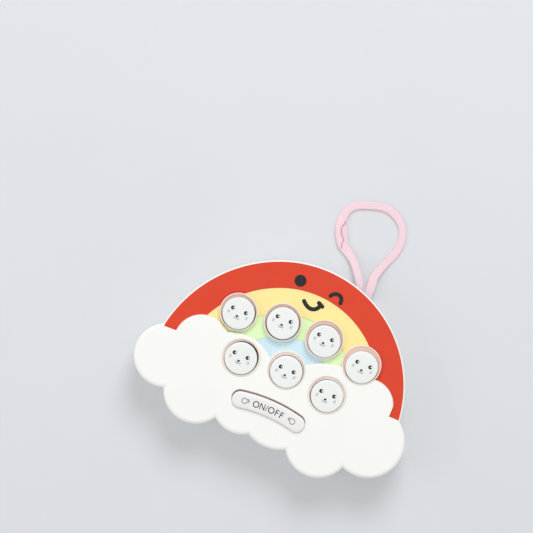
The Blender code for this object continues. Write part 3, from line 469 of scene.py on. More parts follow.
def stroke_outline(points, width):
    """The outline of a pen stroke with round ends, on a line of plan points."""
    points = [Vector(point) for point in points]
    half = width / 2
    left, right = [], []
    for before, point, after in with_neighbours(points):
        aside = Vector((before.y - after.y, after.x - before.x)).normalized() * half
        left.append(point + aside)
        right.append(point - aside)
    last, first = heading(right[-1] - points[-1]), heading(left[0] - points[0])
    return [*right, *arc(points[-1], half, last, last + 180, 8)[1:-1],
            *left[::-1], *arc(points[0], half, first, first + 180, 8)[1:-1]]


def round_corner(radius, height, steps):
    """Points of a rounding's profile: how far in from the side and how far below the top."""
    turns = [ray(90 * step / steps) for step in range(steps + 1)]
    return [(radius * (1 - turn.x), height * (1 - turn.y)) for turn in turns]


def placed(x, y, z):
    """A place measured from the arch's centre, in the model's own frame."""
    return Vector((x + arch_centre.x, y + arch_centre.y, z))


def at_height(outline, height):
    return [placed(*point, height) for point in outline]


def by_strap(x, y):
    """A plan place turned about the arch's centre, so that +Y runs towards the strap's bar."""
    return Matrix.Rotation(math.radians(strap_turn), 2) @ Vector((x, y))


def solid_box(node):
    """The lowest and the highest corner of a solid."""
    return [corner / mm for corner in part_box(node)]


def plan_middle(node):
    """The middle of a solid in plan, measured from the arch's centre."""
    low, high = solid_box(node)
    return ((low + high) / 2).xy - arch_centre


def beside_cap(number, shift):
    """A place that lies so far from a cap's middle towards the strap."""
    return plan_middle(f"light_cap_{number}") + ray(strap_way, shift)


def cap_height(radius):
    """The height of a light cap's crowned top, so far from its middle."""
    flat = size("cap_radius") - size("cap_edge")
    return solid_box("light_cap_1")[1].z - size("cap_crown") * min(radius / flat, 1) ** 2


def deselect_all():
    if bpy.context.object and bpy.context.object.mode != "OBJECT":
        bpy.ops.object.mode_set(mode="OBJECT")
    bpy.ops.object.select_all(action="DESELECT")


def choose(*pieces):
    """Selects these pieces alone, the first one active."""
    deselect_all()
    for piece in pieces:
        piece.select_set(True)
    bpy.context.view_layer.objects.active = pieces[0]


def new_piece(name, looks):
    """Names the object that was just added, and gives it its finishes."""
    piece = bpy.context.object
    piece.name = piece.data.name = name
    for look in looks:
        piece.data.materials.append(finish(look))
    return piece


def search_tree(spots):
    tree = kdtree.KDTree(len(spots))
    for index, spot in enumerate(spots):
        tree.insert(spot, index)
    tree.balance()
    return tree


def loft(name, rings, looks="case", closed=False):
    """Starts from a circle with a ring's number of corners, then extrudes it from ring to ring.

    The ends are faces, or the last ring meets the first one where closed is set. The looks are
    one finish for the whole piece, or one for each step from ring to ring and one for the end.
    """
    deselect_all()
    rings = [[spot * mm for spot in ring] for ring in rings]
    if closed:
        rings.append(rings[0])
    looks = [looks] * len(rings) if isinstance(looks, str) else looks
    kinds = list(dict.fromkeys(looks))
    fill = "NOTHING" if closed else "NGON"
    bpy.ops.mesh.primitive_circle_add(vertices=len(rings[0]), radius=mm, fill_type=fill)
    piece = new_piece(name, kinds)
    for corner, spot in zip(piece.data.vertices, rings[0]):
        corner.co = spot
    bpy.ops.object.mode_set(mode="EDIT")
    bpy.ops.mesh.select_all(action="SELECT")
    for last, ring, look in zip(rings, rings[1:], looks):
        bpy.ops.mesh.extrude_region_move()
        before = search_tree(last)
        edited = bmesh.from_edit_mesh(piece.data)
        for corner in [corner for corner in edited.verts if corner.select]:
            for face in corner.link_faces:
                if not face.select:
                    face.material_index = kinds.index(look)
            corner.co = ring[before.find(corner.co)[1]]
        for face in edited.faces:
            if face.select:
                face.material_index = kinds.index(looks[-1])
        bmesh.update_edit_mesh(piece.data)
    bpy.ops.mesh.select_all(action="SELECT")
    if closed:
        bpy.ops.mesh.remove_doubles(threshold=0.001 * mm)
    bpy.ops.mesh.normals_make_consistent(inside=False)
    bpy.ops.object.mode_set(mode="OBJECT")
    return piece


def stack(name, outline, levels, looks="case"):
    """A loft through one outline, at each level's size and height."""
    return loft(name, [at_height(outline(grow), height) for grow, height in levels], looks)


def tube(name, rings, sides=96, looks="case", closed=False):
    """A loft through circles, each with its centre, radius and height."""
    spots = [at_height(circle(radius, centre, sides), height) for centre, radius, height in rings]
    return loft(name, spots, looks, closed)


def turned(name, profile, centre, sides=96, looks="case", closed=False):
    """A profile of radii and heights turned about an upright axis."""
    return tube(name, [(centre, radius, height) for radius, height in profile], sides, looks, closed)


def prism(name, outline, low, high, looks="case"):
    return loft(name, [at_height(outline, low), at_height(outline, high)], looks)


def box(name, low, high, look="case"):
    """A cube primitive scaled and moved to fill the space between two corners."""
    deselect_all()
    low, high = placed(*low) * mm, placed(*high) * mm
    bpy.ops.mesh.primitive_cube_add(size=1, location=(low + high) / 2)
    piece = new_piece(name, [look])
    piece.scale = high - low
    bpy.ops.object.transform_apply(location=True, rotation=True, scale=True)
    return piece


def bar_rod(name, radius, reach, look="case"):
    """A rod that lies along the strap's bar, with the edges of its ends taken off."""
    edge = 0.15
    ends = ((-reach, radius - edge), (edge - reach, radius), (reach - edge, radius), (reach, radius - edge))
    return loft(name, [[placed(*by_strap(x, y), z) for y, z in circle(around, (bar_row, bar_height), 40)]
                       for x, around in ends], look)


def print_patch(name, outline, surface, look="ink", films=1):
    """Films of ink over a surface whose height is a function of the plan place."""
    rises = (-0.06, films * size("print_relief"))
    return loft(name, [[placed(*spot, surface(spot) + rise) for spot in outline] for rise in rises], look)


def join(pieces):
    choose(*pieces)
    if len(pieces) > 1:
        bpy.ops.object.join()
    return pieces[0]


def combine(operation, piece, tools):
    """Applies one exact Boolean with all the tools, which are used up."""
    tool = join(tools)
    choose(piece)
    bpy.ops.object.modifier_add(type="BOOLEAN")
    modifier = piece.modifiers[-1]
    modifier.operation = operation
    modifier.solver = "EXACT"
    modifier.material_mode = "TRANSFER"
    modifier.object = tool
    bpy.ops.object.modifier_apply(modifier=modifier.name)
    if not piece.data.polygons:
        raise RuntimeError(f"{piece.name} was cut away whole")
    bpy.data.objects.remove(tool)


def add(piece, *tools):
    combine("UNION", piece, tools)


def cut(piece, *tools):
    combine("DIFFERENCE", piece, tools)


def finish_piece(piece, body, replaced=None, crease=35):
    """Smooths a piece, says what it rides on and hides the solid that it stands for."""
    choose(piece)
    bpy.ops.object.shade_smooth_by_angle(angle=math.radians(crease))
    bpy.ops.object.modifier_add(type="WEIGHTED_NORMAL")
    piece.modifiers[-1].keep_sharp = True
    bpy.ops.object.modifier_apply(modifier=piece.modifiers[-1].name)
    piece.data.name = piece.name
    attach(piece, body)
    if replaced:
        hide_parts(replaced)


def add_node(tree, kind, settings=None, links=None):
    """Adds a shader node, sets its options and sockets, and links others into it."""
    node = tree.nodes.new("ShaderNode" + kind)
    for key, value in (settings or {}).items():
        if isinstance(key, int) or key in node.inputs:
            node.inputs[key].default_value = value
        else:
            setattr(node, key, value)
    for key, socket in (links or {}).items():
        tree.links.new(socket, node.inputs[key])
    return node


def new_finish(name, settings):
    """A material whose shader has these constant sockets."""
    material = bpy.data.materials.new(name)
    material.use_nodes = True
    shader = material.node_tree.nodes["Principled BSDF"]
    for key, value in settings.items():
        shader.inputs[key].default_value = value
    return material, material.node_tree, shader


def add_grain(tree, shader, grain, depth, detail=2, stretch=(1, 1, 1)):
    """A fine moulded, sprayed or drawn grain as bump, its scale worked out from the grain's width."""
    place = add_node(tree, "TexCoord").outputs["Object"]
    drawn = add_node(tree, "Mapping", {"Scale": stretch}, {"Vector": place})
    noise = add_node(tree, "TexNoise", {"Scale": 1 / (grain * mm), "Detail": detail},
                     {"Vector": drawn.outputs["Vector"]})
    bump = add_node(tree, "Bump", {"Strength": 1.0, "Distance": depth * mm},
                    {"Height": noise.outputs["Fac"]})
    tree.links.new(bump.outputs["Normal"], shader.inputs["Normal"])
    return place


def add_shades(tree, shader, share, first, second):
    """Mixes two shades of the base colour by a pattern."""
    mix = add_node(tree, "Mix", {"data_type": "RGBA", 6: (*first, 1), 7: (*second, 1)}, {"Factor": share})
    tree.links.new(mix.outputs[2], shader.inputs["Base Color"])


def add_tint(tree, shader, place, base, shade, patch):
    """Slow patches of a darker shade over the base colour."""
    patches = add_node(tree, "TexNoise", {"Scale": 1 / (patch * mm), "Detail": 3.0}, {"Vector": place})
    spread = add_node(tree, "MapRange", {"From Min": 0.35, "From Max": 0.7},
                      {"Value": patches.outputs["Fac"]})
    add_shades(tree, shader, spread.outputs["Result"], base, shaded(base, shade))


def add_gloss_range(tree, shader, place, patch, low, high):
    """Roughness that drifts a little from place to place, as handling leaves it."""
    drift = add_node(tree, "TexNoise", {"Scale": 1 / (patch * mm), "Detail": 4.0}, {"Vector": place})
    gloss = add_node(tree, "MapRange", {"From Min": 0.3, "From Max": 0.7, "To Min": low, "To Max": high},
                     {"Value": drift.outputs["Fac"]})
    tree.links.new(gloss.outputs["Result"], shader.inputs["Roughness"])


def shaded(colour, share):
    return [part * share for part in colour]


def moulded_plastic(name, source, gloss, grain, depth, shade, soft):
    """Moulded plastic: a slow drift of shade from the melt's flow, and the tool's fine texture as bump."""
    material, tree, shader = new_finish(
        name, {"IOR": 1.5, "Subsurface Weight": soft, "Subsurface Radius": (1.2 * mm, 1.0 * mm, 0.9 * mm),
               "Subsurface Scale": 1.0})
    place = add_grain(tree, shader, grain, depth)
    add_tint(tree, shader, place, tone(source), shade, 14)
    add_gloss_range(tree, shader, place, 9, gloss - 0.05, gloss + 0.06)
    return material


def sprayed_ink(name, source):
    """Ink sprayed through a mask: a thin even film with a slight orange peel and a soft sheen."""
    material, tree, shader = new_finish(name, {"IOR": 1.48})
    place = add_grain(tree, shader, 0.45, 0.004, 3)
    add_tint(tree, shader, place, tone(source), 0.965, 11)
    add_gloss_range(tree, shader, place, 6, 0.38, 0.48)
    return material


def worked_metal(name, code, gloss, scratch_width):
    """Bright metal, with fine drawn scratches that break its reflection."""
    material, tree, shader = new_finish(name, {"Metallic": 1.0, "Base Color": (*linear(code), 1)})
    # Each scratch is twelve times as long as it is wide
    place = add_grain(tree, shader, 12 * scratch_width, 0.002, 2, (1, 12, 1))
    add_gloss_range(tree, shader, place, 2, gloss, gloss + 0.12)
    return material


def board_laminate():
    """Paper laminate board: brown, with faint long fibres and a dull resin skin."""
    brown = linear("#8A5A3A")
    material, tree, shader = new_finish("board_laminate_brown", {"IOR": 1.5, "Roughness": 0.55})
    place = add_grain(tree, shader, 0.3, 0.004)
    drawn = add_node(tree, "Mapping", {"Scale": (0.15, 1, 1)}, {"Vector": place})
    fibres = add_node(tree, "TexNoise", {"Scale": 1 / (0.5 * mm), "Detail": 3.0},
                      {"Vector": drawn.outputs["Vector"]})
    add_shades(tree, shader, fibres.outputs["Fac"], brown, shaded(brown, 0.75))
    return material


def woven_ribbon(name, source):
    """Flat woven polyester: cross ribs over a soft pink, with a sheen from the fine yarn.

    The real ribs are about 0.25 mm apart, and are drawn at 0.45 mm so that they show.
    """
    material, tree, shader = new_finish(
        name, {"Roughness": 0.75, "Sheen Weight": 0.35, "Sheen Roughness": 0.5, "Subsurface Weight": 0.15,
               "Subsurface Radius": (1.2 * mm, 0.8 * mm, 0.8 * mm), "Subsurface Scale": 1.0})
    chart = add_node(tree, "UVMap", {"uv_map": "band"}).outputs["UV"]
    ribs = add_node(tree, "TexWave", {"wave_type": "BANDS", "bands_direction": "Y", "Scale": 1.0,
                                      "Distortion": 0.6, "Detail": 1.0}, {"Vector": chart})
    yarn = add_node(tree, "TexNoise", {"Scale": 1.5, "Detail": 3.0}, {"Vector": chart})
    height = add_node(tree, "Math", {"operation": "MULTIPLY_ADD", 1: 0.35},
                      {0: yarn.outputs["Fac"], 2: ribs.outputs["Fac"]})
    bump = add_node(tree, "Bump", {"Strength": 0.7, "Distance": 0.03 * mm},
                    {"Height": height.outputs["Value"]})
    tree.links.new(bump.outputs["Normal"], shader.inputs["Normal"])
    add_shades(tree, shader, ribs.outputs["Fac"], shaded(tone(source), 0.9), tone(source))
    return material


finish_book = {}


def finish(look):
    """The material of a look. All of them are made at the first call."""
    if not finish_book:
        for key, values in plastics.items():
            finish_book[key] = moulded_plastic(*values)
        for key, values in inks.items():
            finish_book[key] = sprayed_ink(*values)
        finish_book["strap"] = woven_ribbon("woven_polyester_pink", "strap")
        # The same ribbon in the shade under its own fold
        finish_book["strap_shade"] = woven_ribbon("woven_polyester_shade", "strap_shade")
        finish_book["steel"] = worked_metal("zinc_plated_steel", "#C9CBCE", 0.25, 0.05)
        finish_book["nickel"] = worked_metal("nickel_spring_strip", "#D5D0C6", 0.3, 0.08)
        finish_book["laminate"] = board_laminate()
    return finish_book[look]


def smooth_route(knots, spacing):
    """Evenly spaced points read from a smooth curve through the knots, and the curve's length."""
    knots = [Vector(knot) for knot in knots]
    dense = []
    padded = [knots[0] * 2 - knots[1], *knots, knots[-1] * 2 - knots[-2]]
    for before, start, end, after in zip(padded, padded[1:], padded[2:], padded[3:]):
        for index in range(24):
            t = index / 24
            bend = start * 2 + (end - before) * t + (before * 2 - start * 5 + end * 4 - after) * t**2
            dense.append((bend + (start * 3 - before - end * 3 + after) * t**3) / 2)
    dense.append(knots[-1])
    lengths = [0.0]
    for first, second in zip(dense, dense[1:]):
        lengths.append(lengths[-1] + (second - first).length)
    count = round(lengths[-1] / spacing)
    points, spot = [], 0
    for index in range(count):
        target = lengths[-1] * index / count
        while lengths[spot + 1] < target:
            spot += 1
        share = (target - lengths[spot]) / (lengths[spot + 1] - lengths[spot])
        points.append(dense[spot].lerp(dense[spot + 1], share))
    return [*points, knots[-1]], lengths[-1]


def ease(value, low, high):
    """Rises smoothly from 0 to 1 between two values."""
    share = min(max((value - low) / (high - low), 0), 1)
    return share * share * (3 - 2 * share)


def read_line(knots, place):
    """Reads a value off a line of (place, value) knots, eased from knot to knot."""
    for (start, low), (end, high) in zip(knots, knots[1:]):
        if place <= end:
            return low + (high - low) * ease(place, start, end)
    return knots[-1][1]


def band_section(width, thickness, crease, rise):
    """The strap's section: a flat band with round edges.

    Its part beyond the crease lies folded over and stands higher by the rise.
    """
    half, edge, slope = width / 2, thickness / 2, 0.32
    flat = half - edge
    fold = min(max(crease * half, 0.05 - flat), flat - slope - 0.05)
    points = arc((-flat, 0), edge, 270, 90, 6)
    points += [((fold - flat) / 2, edge), (fold, edge), (fold + slope, edge + rise),
               ((fold + slope + flat) / 2, edge + rise)]
    points += arc((flat, rise / 2), edge, 90, -90, 6, 1 + rise / thickness)
    return points + [(flat * share, -edge) for share in (0.6, 0.2, -0.2, -0.6)]


class ToyStage(bpy.types.Operator):
    """Adds the camera, the soft lights and the pale floor."""

    bl_idname = "light_game.stage"
    bl_label = "Stage, light and camera"

    def execute(self, context):
        place = Vector((*view_centre, red_level + view_distance)) * mm
        bpy.ops.object.camera_add(location=place, rotation=(0, 0, math.radians(view_turn)))
        camera = context.object
        camera.data.sensor_width = 36
        camera.data.lens = camera.data.sensor_width * view_distance / view_width
        camera.data.clip_end = 10
        context.scene.camera = camera
        context.scene.view_settings.view_transform = "Standard"
        for name, place, width, power in lamps:
            bpy.ops.object.light_add(type="AREA", location=place)
            lamp = context.object
            lamp.name = name
            lamp.data.shape = "DISK"
            lamp.data.size = width
            lamp.data.energy = power
            lamp.rotation_euler = (-place).to_track_quat("-Z", "Y").to_euler()

        world = bpy.data.worlds.new("soft_room")
        context.scene.world = world
        world.use_nodes = True
        tree = world.node_tree
        room = tree.nodes["Background"]
        room.inputs["Color"].default_value = (1, 1, 1, 1)
        path = add_node(tree, "LightPath")
        more = room_seen - room_light
        strength = add_node(tree, "Math", {"operation": "MULTIPLY_ADD", 1: more, 2: room_light},
                            {0: path.outputs["Is Camera Ray"]})
        tree.links.new(strength.outputs["Value"], room.inputs["Strength"])

        bpy.ops.mesh.primitive_circle_add(vertices=128, radius=3, fill_type="NGON")
        floor = context.object
        floor.name = "pale_floor"
        for corner in floor.data.vertices:
            corner.co.z = -0.05 * mm
        material, tree, shader = new_finish("painted_board", {"Roughness": 0.7})
        place = add_grain(tree, shader, 0.6, 0.003)
        add_tint(tree, shader, place, tone("floor"), 0.985, 60)
        # The floor is seen through from below, and lets the room's light through to the back
        face = add_node(tree, "NewGeometry")
        path = add_node(tree, "LightPath")
        hidden = add_node(tree, "Math", {"operation": "MULTIPLY"},
                          {0: face.outputs["Backfacing"], 1: path.outputs["Is Camera Ray"]})
        passed = add_node(tree, "Math", {"operation": "MAXIMUM"},
                          {0: hidden.outputs["Value"], 1: path.outputs["Is Diffuse Ray"]})
        clear = add_node(tree, "BsdfTransparent")
        mixed = add_node(tree, "MixShader", {}, {0: passed.outputs["Value"], 1: shader.outputs["BSDF"],
                                                 2: clear.outputs["BSDF"]})
        tree.links.new(mixed.outputs["Shader"], tree.nodes["Material Output"].inputs["Surface"])
        floor.data.materials.append(material)
        return {"FINISHED"}


class ToyStrap(bpy.types.Operator):
    """Makes the flat wrist strap, which turns over once beside the rainbow."""

    bl_idname = "light_game.strap"
    bl_label = "Wrist strap"

    def execute(self, context):
        width, thickness = size("strap_width"), size("strap_thickness")
        knots = [placed(*knot) for knot in strap_route]
        points, length = smooth_route(knots, strap_spacing)
        rings, middles = [], []
        travelled = 0.0
        for before, point, after in with_neighbours(points):
            travelled += (point - before).length
            along = (after - before).normalized()
            side = Vector((-along.y, along.x, 0)).normalized()
            up = side.cross(along)
            up = up if up.z > 0 else -up
            section = band_section(width * read_line(strap_widths, travelled), thickness,
                                   read_line(strap_crease, travelled),
                                   fold_rise * read_line(strap_fold, travelled))
            lying = ease(min(travelled, length - travelled), *strap_landing)
            height = point.z + (thickness / 2 + 0.02 - point.z) * lying
            middle = Vector((*point.xy, height)) - side * read_line(strap_shift, travelled)
            rings.append([middle + side * u + up * v for u, v in section])
            middles.append(middle)
        strap = loft("flat_wrist_strap", rings, "strap")
        strap.data.materials.append(finish("strap_shade"))
        self.chart(strap, rings)
        finish_piece(strap, "case", "wrist_strap", 60)
        return {"FINISHED"}

    def chart(self, strap, rings):
        """Unrolls the band, in rib widths along it and yarn widths across it, and shades its fold."""
        around = len(rings[0])
        nearest = search_tree([spot * mm for ring in rings for spot in ring])
        layer = strap.data.uv_layers.new(name="band")
        for face in strap.data.polygons:
            spots = [nearest.find(strap.data.vertices[corner].co)[1] for corner in face.vertices]
            columns = [spot % around for spot in spots]
            wraps = max(columns) - min(columns) > around / 2
            folded = read_line(strap_fold, spots[0] // around * strap_spacing) > shade_from
            if set(columns) == crease_columns and folded:
                face.material_index = 1
            for loop, spot, column in zip(face.loop_indices, spots, columns):
                across = column + around if wraps and column < around / 2 else column
                layer.data[loop].uv = (across * yarn_share, spot // around * strap_spacing / rib_spacing)


class ToyFrontMoulding(bpy.types.Operator):
    """Makes the front moulding: the banded rainbow, the cloud over it and the buttons' openings."""

    bl_idname = "light_game.front_moulding"
    bl_label = "Front moulding"

    def execute(self, context):
        shell = self.arch()
        # The red band shows in a narrow ring round the two outermost collars, and beyond the fourth
        moat = collar_base + 0.4
        profile = [(moat, yellow_level + 0.1), (moat + 0.12, red_level + 0.05), (moat + 0.12, above_all)]
        cut(shell, *[turned("moat", profile, beside_cap(number, collar_offset), 120, "red")
                     for number in (1, 4)])
        cut(shell, box("moat", (27.4, 12.4, yellow_level - 0.01), (30, 16.4, above_all), "red"))
        rounding = round_corner(size("cloud_edge"), cloud_drop, 8)
        levels = [(0, parting - 1.5)] + [(inward, cloud_level - below) for inward, below in rounding]
        add(shell, stack("cloud", cloud_outline, levels))
        # The red band shows down to a straight end on each side, where the cloud starts
        # and the cut leaves red below and white beside it
        cut(shell, *[prism("end", plan, above_all, red_level, ["case", "red"]) for plan in red_ends])
        # Room for the ledges, where the cloud stands back from the first collar
        for look, level, start, end in ledges:
            middle = plan_middle("light_cap_1")
            plan = arc(middle, ledge_outer, start, end, 14) + arc(middle, ledge_inner, end, start, 14)
            cut(shell, prism("ledge", plan, above_all, level, ["case", look]))
        self.cut_below(shell, parting + fit / 2)
        groove_top = parting + tongue_height + fit
        for inset, arch_top, cloud_top in ((wall, panel_underside, cloud_underside),
                                           (wall - tongue - fit, groove_top, groove_top)):
            cut(shell, prism("room", arch_outline(inset), parting - 1, arch_top))
            cut(shell, prism("room", cloud_outline(inset), parting - 1.5, cloud_top))
        slot = prism("opening", key_outline(key_room), parting, above_all)
        cut(shell, *[self.opening(number) for number in range(1, 8)], slot)
        finish_piece(shell, "case", "front_shell")
        return {"FINISHED"}

    def arch(self):
        """The arch's outside: its round white rim, then each band a soft step below the last."""
        levels = [(0, parting - 1)]
        levels += [(inward, red_level - below) for inward, below in round_corner(white_rim, white_rim, 5)]
        looks = ["case"] * (len(levels) - 1)
        start = white_rim
        for look, width, level in bands:
            start += width
            levels += [(start - back, level - below) for back, below in band_step]
            looks += [look] * len(band_step)
        return stack("front_moulding", arch_outline, levels, [*looks, "blue"])

    def opening(self, number):
        """Room for one collar, which follows the collar's lean towards its mouth."""
        mouth, lean = collars[number - 1][:2]
        seat, top = beside_cap(number, collar_offset), beside_cap(number, lean)
        return tube("opening", [(seat, collar_hole, parting), (seat, collar_hole, blue_level + 0.2),
                                ((seat + top) / 2, collar_hole + 0.05, 17.0), (top, mouth + 0.2, 17.9),
                                (top, mouth + 0.2, above_all)])

    def cut_below(self, piece, height):
        """Takes off what lies below a height, and closes the cut."""
        choose(piece)
        bpy.ops.object.mode_set(mode="EDIT")
        bpy.ops.mesh.select_all(action="SELECT")
        bpy.ops.mesh.bisect(plane_co=(0, 0, height * mm), plane_no=(0, 0, 1), use_fill=True,
                            clear_inner=True)
        bpy.ops.object.mode_set(mode="OBJECT")


class ToyBackMoulding(bpy.types.Operator):
    """Makes the back moulding: rim, bosses, battery bay, sound holes and the bar's lugs."""

    bl_idname = "light_game.back_moulding"
    bl_label = "Back moulding"

    def execute(self, context):
        levels = [*round_corner(1.5, 1.5, 8)[::-1], (0, parting - fit / 2)]
        shell = stack("back_moulding", arch_outline, levels)
        add(shell, stack("cloud", cloud_outline, levels))
        rim = parting + tongue_height
        for outline, low in ((arch_outline, 7.6), (cloud_outline, 7.3)):
            add(shell, prism("tongue", outline(wall - tongue), low, rim))
        for outline in (arch_outline, cloud_outline):
            cut(shell, prism("room", outline(wall), floor_wall, rim + 2))
        screws = [plan_middle(f"case_screw_{number}") for number in range(1, 5)]
        sound = plan_middle("loudspeaker")
        # The wells of the case screws and the sound holes, each with a broken edge
        cutters = [turned("well", [(3.4, -0.6), (2.8, 0.3), (2.8, 3.6)], place, 64) for place in screws]
        for place in [sound, *circle(2.8, sound, 8)]:
            cutters.append(turned("sound_hole", [(1.05, -0.3), (0.7, 0.2), (0.7, 3.0)], place, 32))
        cut(shell, *cutters)
        for place in screws:
            boss = [(1.4, 5.0), (3.4, 5.0), (3.4, 1.1), (2.5, 1.1), (2.5, 3.0), (1.4, 3.0)]
            add(shell, turned("boss", boss, place, 48, closed=True))
        ring = [(6.8, 1.1), (7.6, 1.1), (7.6, 3.8), (6.8, 3.8)]
        add(shell, turned("ring", ring, sound, 64, closed=True))
        self.add_bay(shell)
        self.add_lugs(shell)
        finish_piece(shell, "case", "back_shell")
        return {"FINISHED"}

    def add_bay(self, shell):
        """The battery bay with the cover's recess, its screw hole and the slots for its tabs."""
        add(shell, box("bay", (-20.55, bay_y - 8.35, 1.1), (20.55, bay_y + 8.35, parting)))
        add(shell, prism("ear", ear_outline(4.6, 6.4), 1.1, 7.4))
        cut(shell, box("room", (-18.8, bay_y - 6.6, -2), (18.8, bay_y + 6.6, 8.6)))
        cut(shell, stack("recess", door_outline, ((0.8, -0.6), (0.3, 0.2), (0.3, 1.7))))
        cut(shell, turned("cup", [(3.7, 1.4), (3.7, 3.1)], (0, ear_y), 48))
        slots = [box("slot", (middle - 2.8, bay_y + 6.1, floor_wall), (middle + 2.8, bay_y + 11.2, 5.2))
                 for middle in (-tab_place, tab_place)]
        cut(shell, turned("shank", [(1.75, 1.7), (1.75, 5.8)], (0, ear_y), 32), *slots)

    def add_lugs(self, shell):
        """The two lugs that hold the strap's bar, and the opening that its strands pass."""
        for low, high in ((-7.1, -5.0), (5.0, 7.1)):
            plan = [by_strap(x, y) for x, y in ((low, 36.4), (high, 36.4), (high, 40.7), (low, 40.7))]
            add(shell, prism("lug", plan, 1.1, 5.6))
        face = sum(corner_arcs((0, bar_height), 4.7, 1.8, 1.1, 6), [])
        cut(shell, loft("opening", [[placed(*by_strap(x, y), z) for x, z in face] for y in (39.4, 45)]))
        cut(shell, bar_rod("socket", 1.3, 5.9))


class ToyBatteryCover(bpy.types.Operator):
    """Makes the battery cover with its two tabs, its screw cup and three grip grooves."""

    bl_idname = "light_game.battery_cover"
    bl_label = "Battery cover"

    def execute(self, context):
        levels = [(-inward, 0.2 + below) for inward, below in round_corner(0.35, 0.35, 5)[::-1]]
        cover = stack("battery_cover", door_outline, [*levels, (0, 1.4)])
        parts = [turned("cup", [(3.1, 0.9), (3.1, 2.8)], (0, ear_y), 48)]
        edge = bay_y + door_half_width
        profile = ((-0.9, 0.9), (-0.3, 0.9), (-0.3, 1.9), (2.0, 1.9), (2.0, 2.7), (-0.9, 2.7))
        for middle in (-tab_place, tab_place):
            sides = (middle - 2.5, middle + 2.5)
            parts.append(loft("tab", [[placed(x, edge + y, z) for y, z in profile] for x in sides]))
        add(cover, *parts)
        cutters = [turned("head", [(2.5, -0.2), (2.2, 0.4), (2.2, 2.0)], (0, ear_y), 48)]
        for above in (4.6, 3.5, 2.4):
            line = [(x, bay_y + above) for x in (-4.5, -2, 2, 4.5)]
            cutters.append(prism("groove", stroke_outline(line, 0.55), -1, 0.38))
        cut(cover, *cutters)
        cut(cover, turned("shank", [(1.4, 0.2), (1.4, 5.5)], (0, ear_y), 32))
        finish_piece(cover, "battery_door", "battery_door")
        return {"FINISHED"}


class ToyFasteners(bpy.types.Operator):
    """Makes the case screws, the cover's captive screw and the strap's bar."""

    bl_idname = "light_game.fasteners"
    bl_label = "Screws and bar"

    def execute(self, context):
        for number in range(1, 5):
            node = f"case_screw_{number}"
            screw = self.screw(f"cross_head_screw_{number}", node, 2.2, 1.4)
            finish_piece(screw, "case", node)
        captive = self.screw("captive_screw", "door_screw", 1.9, 0.8)
        finish_piece(captive, "door_screw", "door_screw")
        finish_piece(bar_rod("strap_pin", 1.0, 5.6, "steel"), "case", "strap_bar")
        return {"FINISHED"}

    def screw(self, name, node, radius, height):
        """A pan-headed screw, head down, with a tapered cross recess and a thread."""
        low, high = (corner.z for corner in solid_box(node))
        shank = 1.1
        core = 0.8 * shank
        head = ((0.4, 0), (0.72, 0.03), (0.9, 0.14), (0.98, 0.32), (1, 0.5), (1, 1))
        profile = [(radius * out, low + height * up) for out, up in head]
        profile.append((core, low + height))
        turn = low + height + 0.3
        while turn < high - shank - 0.4:
            profile += [(core, turn), (shank, turn + 0.15), (shank, turn + 0.2), (core, turn + 0.35)]
            turn += 0.5
        profile += [(core, high - shank), (0.15 * shank, high)]
        screw = turned(name, profile, plan_middle(node), 32, "steel")
        rings = []
        for width, depth in ((1.1, -0.3), (1.0, 0.0), (0.5, 0.55)):
            arm, half = 0.6 * radius * width, 0.11 * radius * width
            quarters = [Matrix.Rotation(math.radians(90 * quarter), 2) for quarter in range(4)]
            plan = [quarter @ Vector(corner) + plan_middle(node) for quarter in quarters
                    for corner in ((half, half), (half, arm), (-half, arm))]
            rings.append(at_height(plan, low + depth * height))
        cut(screw, loft("recess", rings, "steel"))
        return screw


class ToyCollars(bpy.types.Operator):
    """Makes the raised rings that line the seven cap openings and the key's slot."""

    bl_idname = "light_game.collars"
    bl_label = "Collars"

    def execute(self, context):
        for number, (mouth, lean, shift, gap, lip_share, _) in enumerate(collars, 1):
            seat, top = beside_cap(number, collar_offset), beside_cap(number, lean)
            foot, narrow = plan_middle(f"light_cap_{number}") + Vector(shift), size("cap_radius") + gap
            lip = banded_lip if number < 5 else cloud_lip
            rings = [(seat, sleeve_radius, sleeve_bottom), (seat, collar_base, sleeve_bottom),
                     (seat, collar_base, blue_level)]
            rings += [(top, mouth + out * lip_share, collar_level - below) for out, below in lip]
            rings += [(top, mouth, collar_level - 0.3), (foot, narrow, 17.8), (foot, narrow, 17.0),
                      (seat, sleeve_radius, 16.0)]
            # Below the lip the inside is painted shade, a deeper pink-brown on the four collars in the
            # bands
            looks = ["collar"] * (len(lip) + 2) + ["sleeve" if number < 5 else "low_sleeve"] * 5
            finish_piece(tube(f"collar_{number}", rings, 120, looks, True), "case", crease=50)
        self.key_collar()
        return {"FINISHED"}

    def key_collar(self):
        """The slot's edge: flush with the cloud, close to the key and open only towards the strap."""
        plain = key_outline(0)
        ways = [further - spot for spot, further in zip(plain, key_outline(1))]
        opened = [max(way.dot(ray(strap_way)), 0) for way in ways]
        rings = []
        for out, wider, height, _ in key_slot:
            rings.append(at_height([spot + way * (out + wider * share)
                                    for spot, way, share in zip(plain, ways, opened)], height))
        looks = [look for _, _, _, look in key_slot]
        finish_piece(loft("key_collar", rings, looks, True), "case", crease=50)


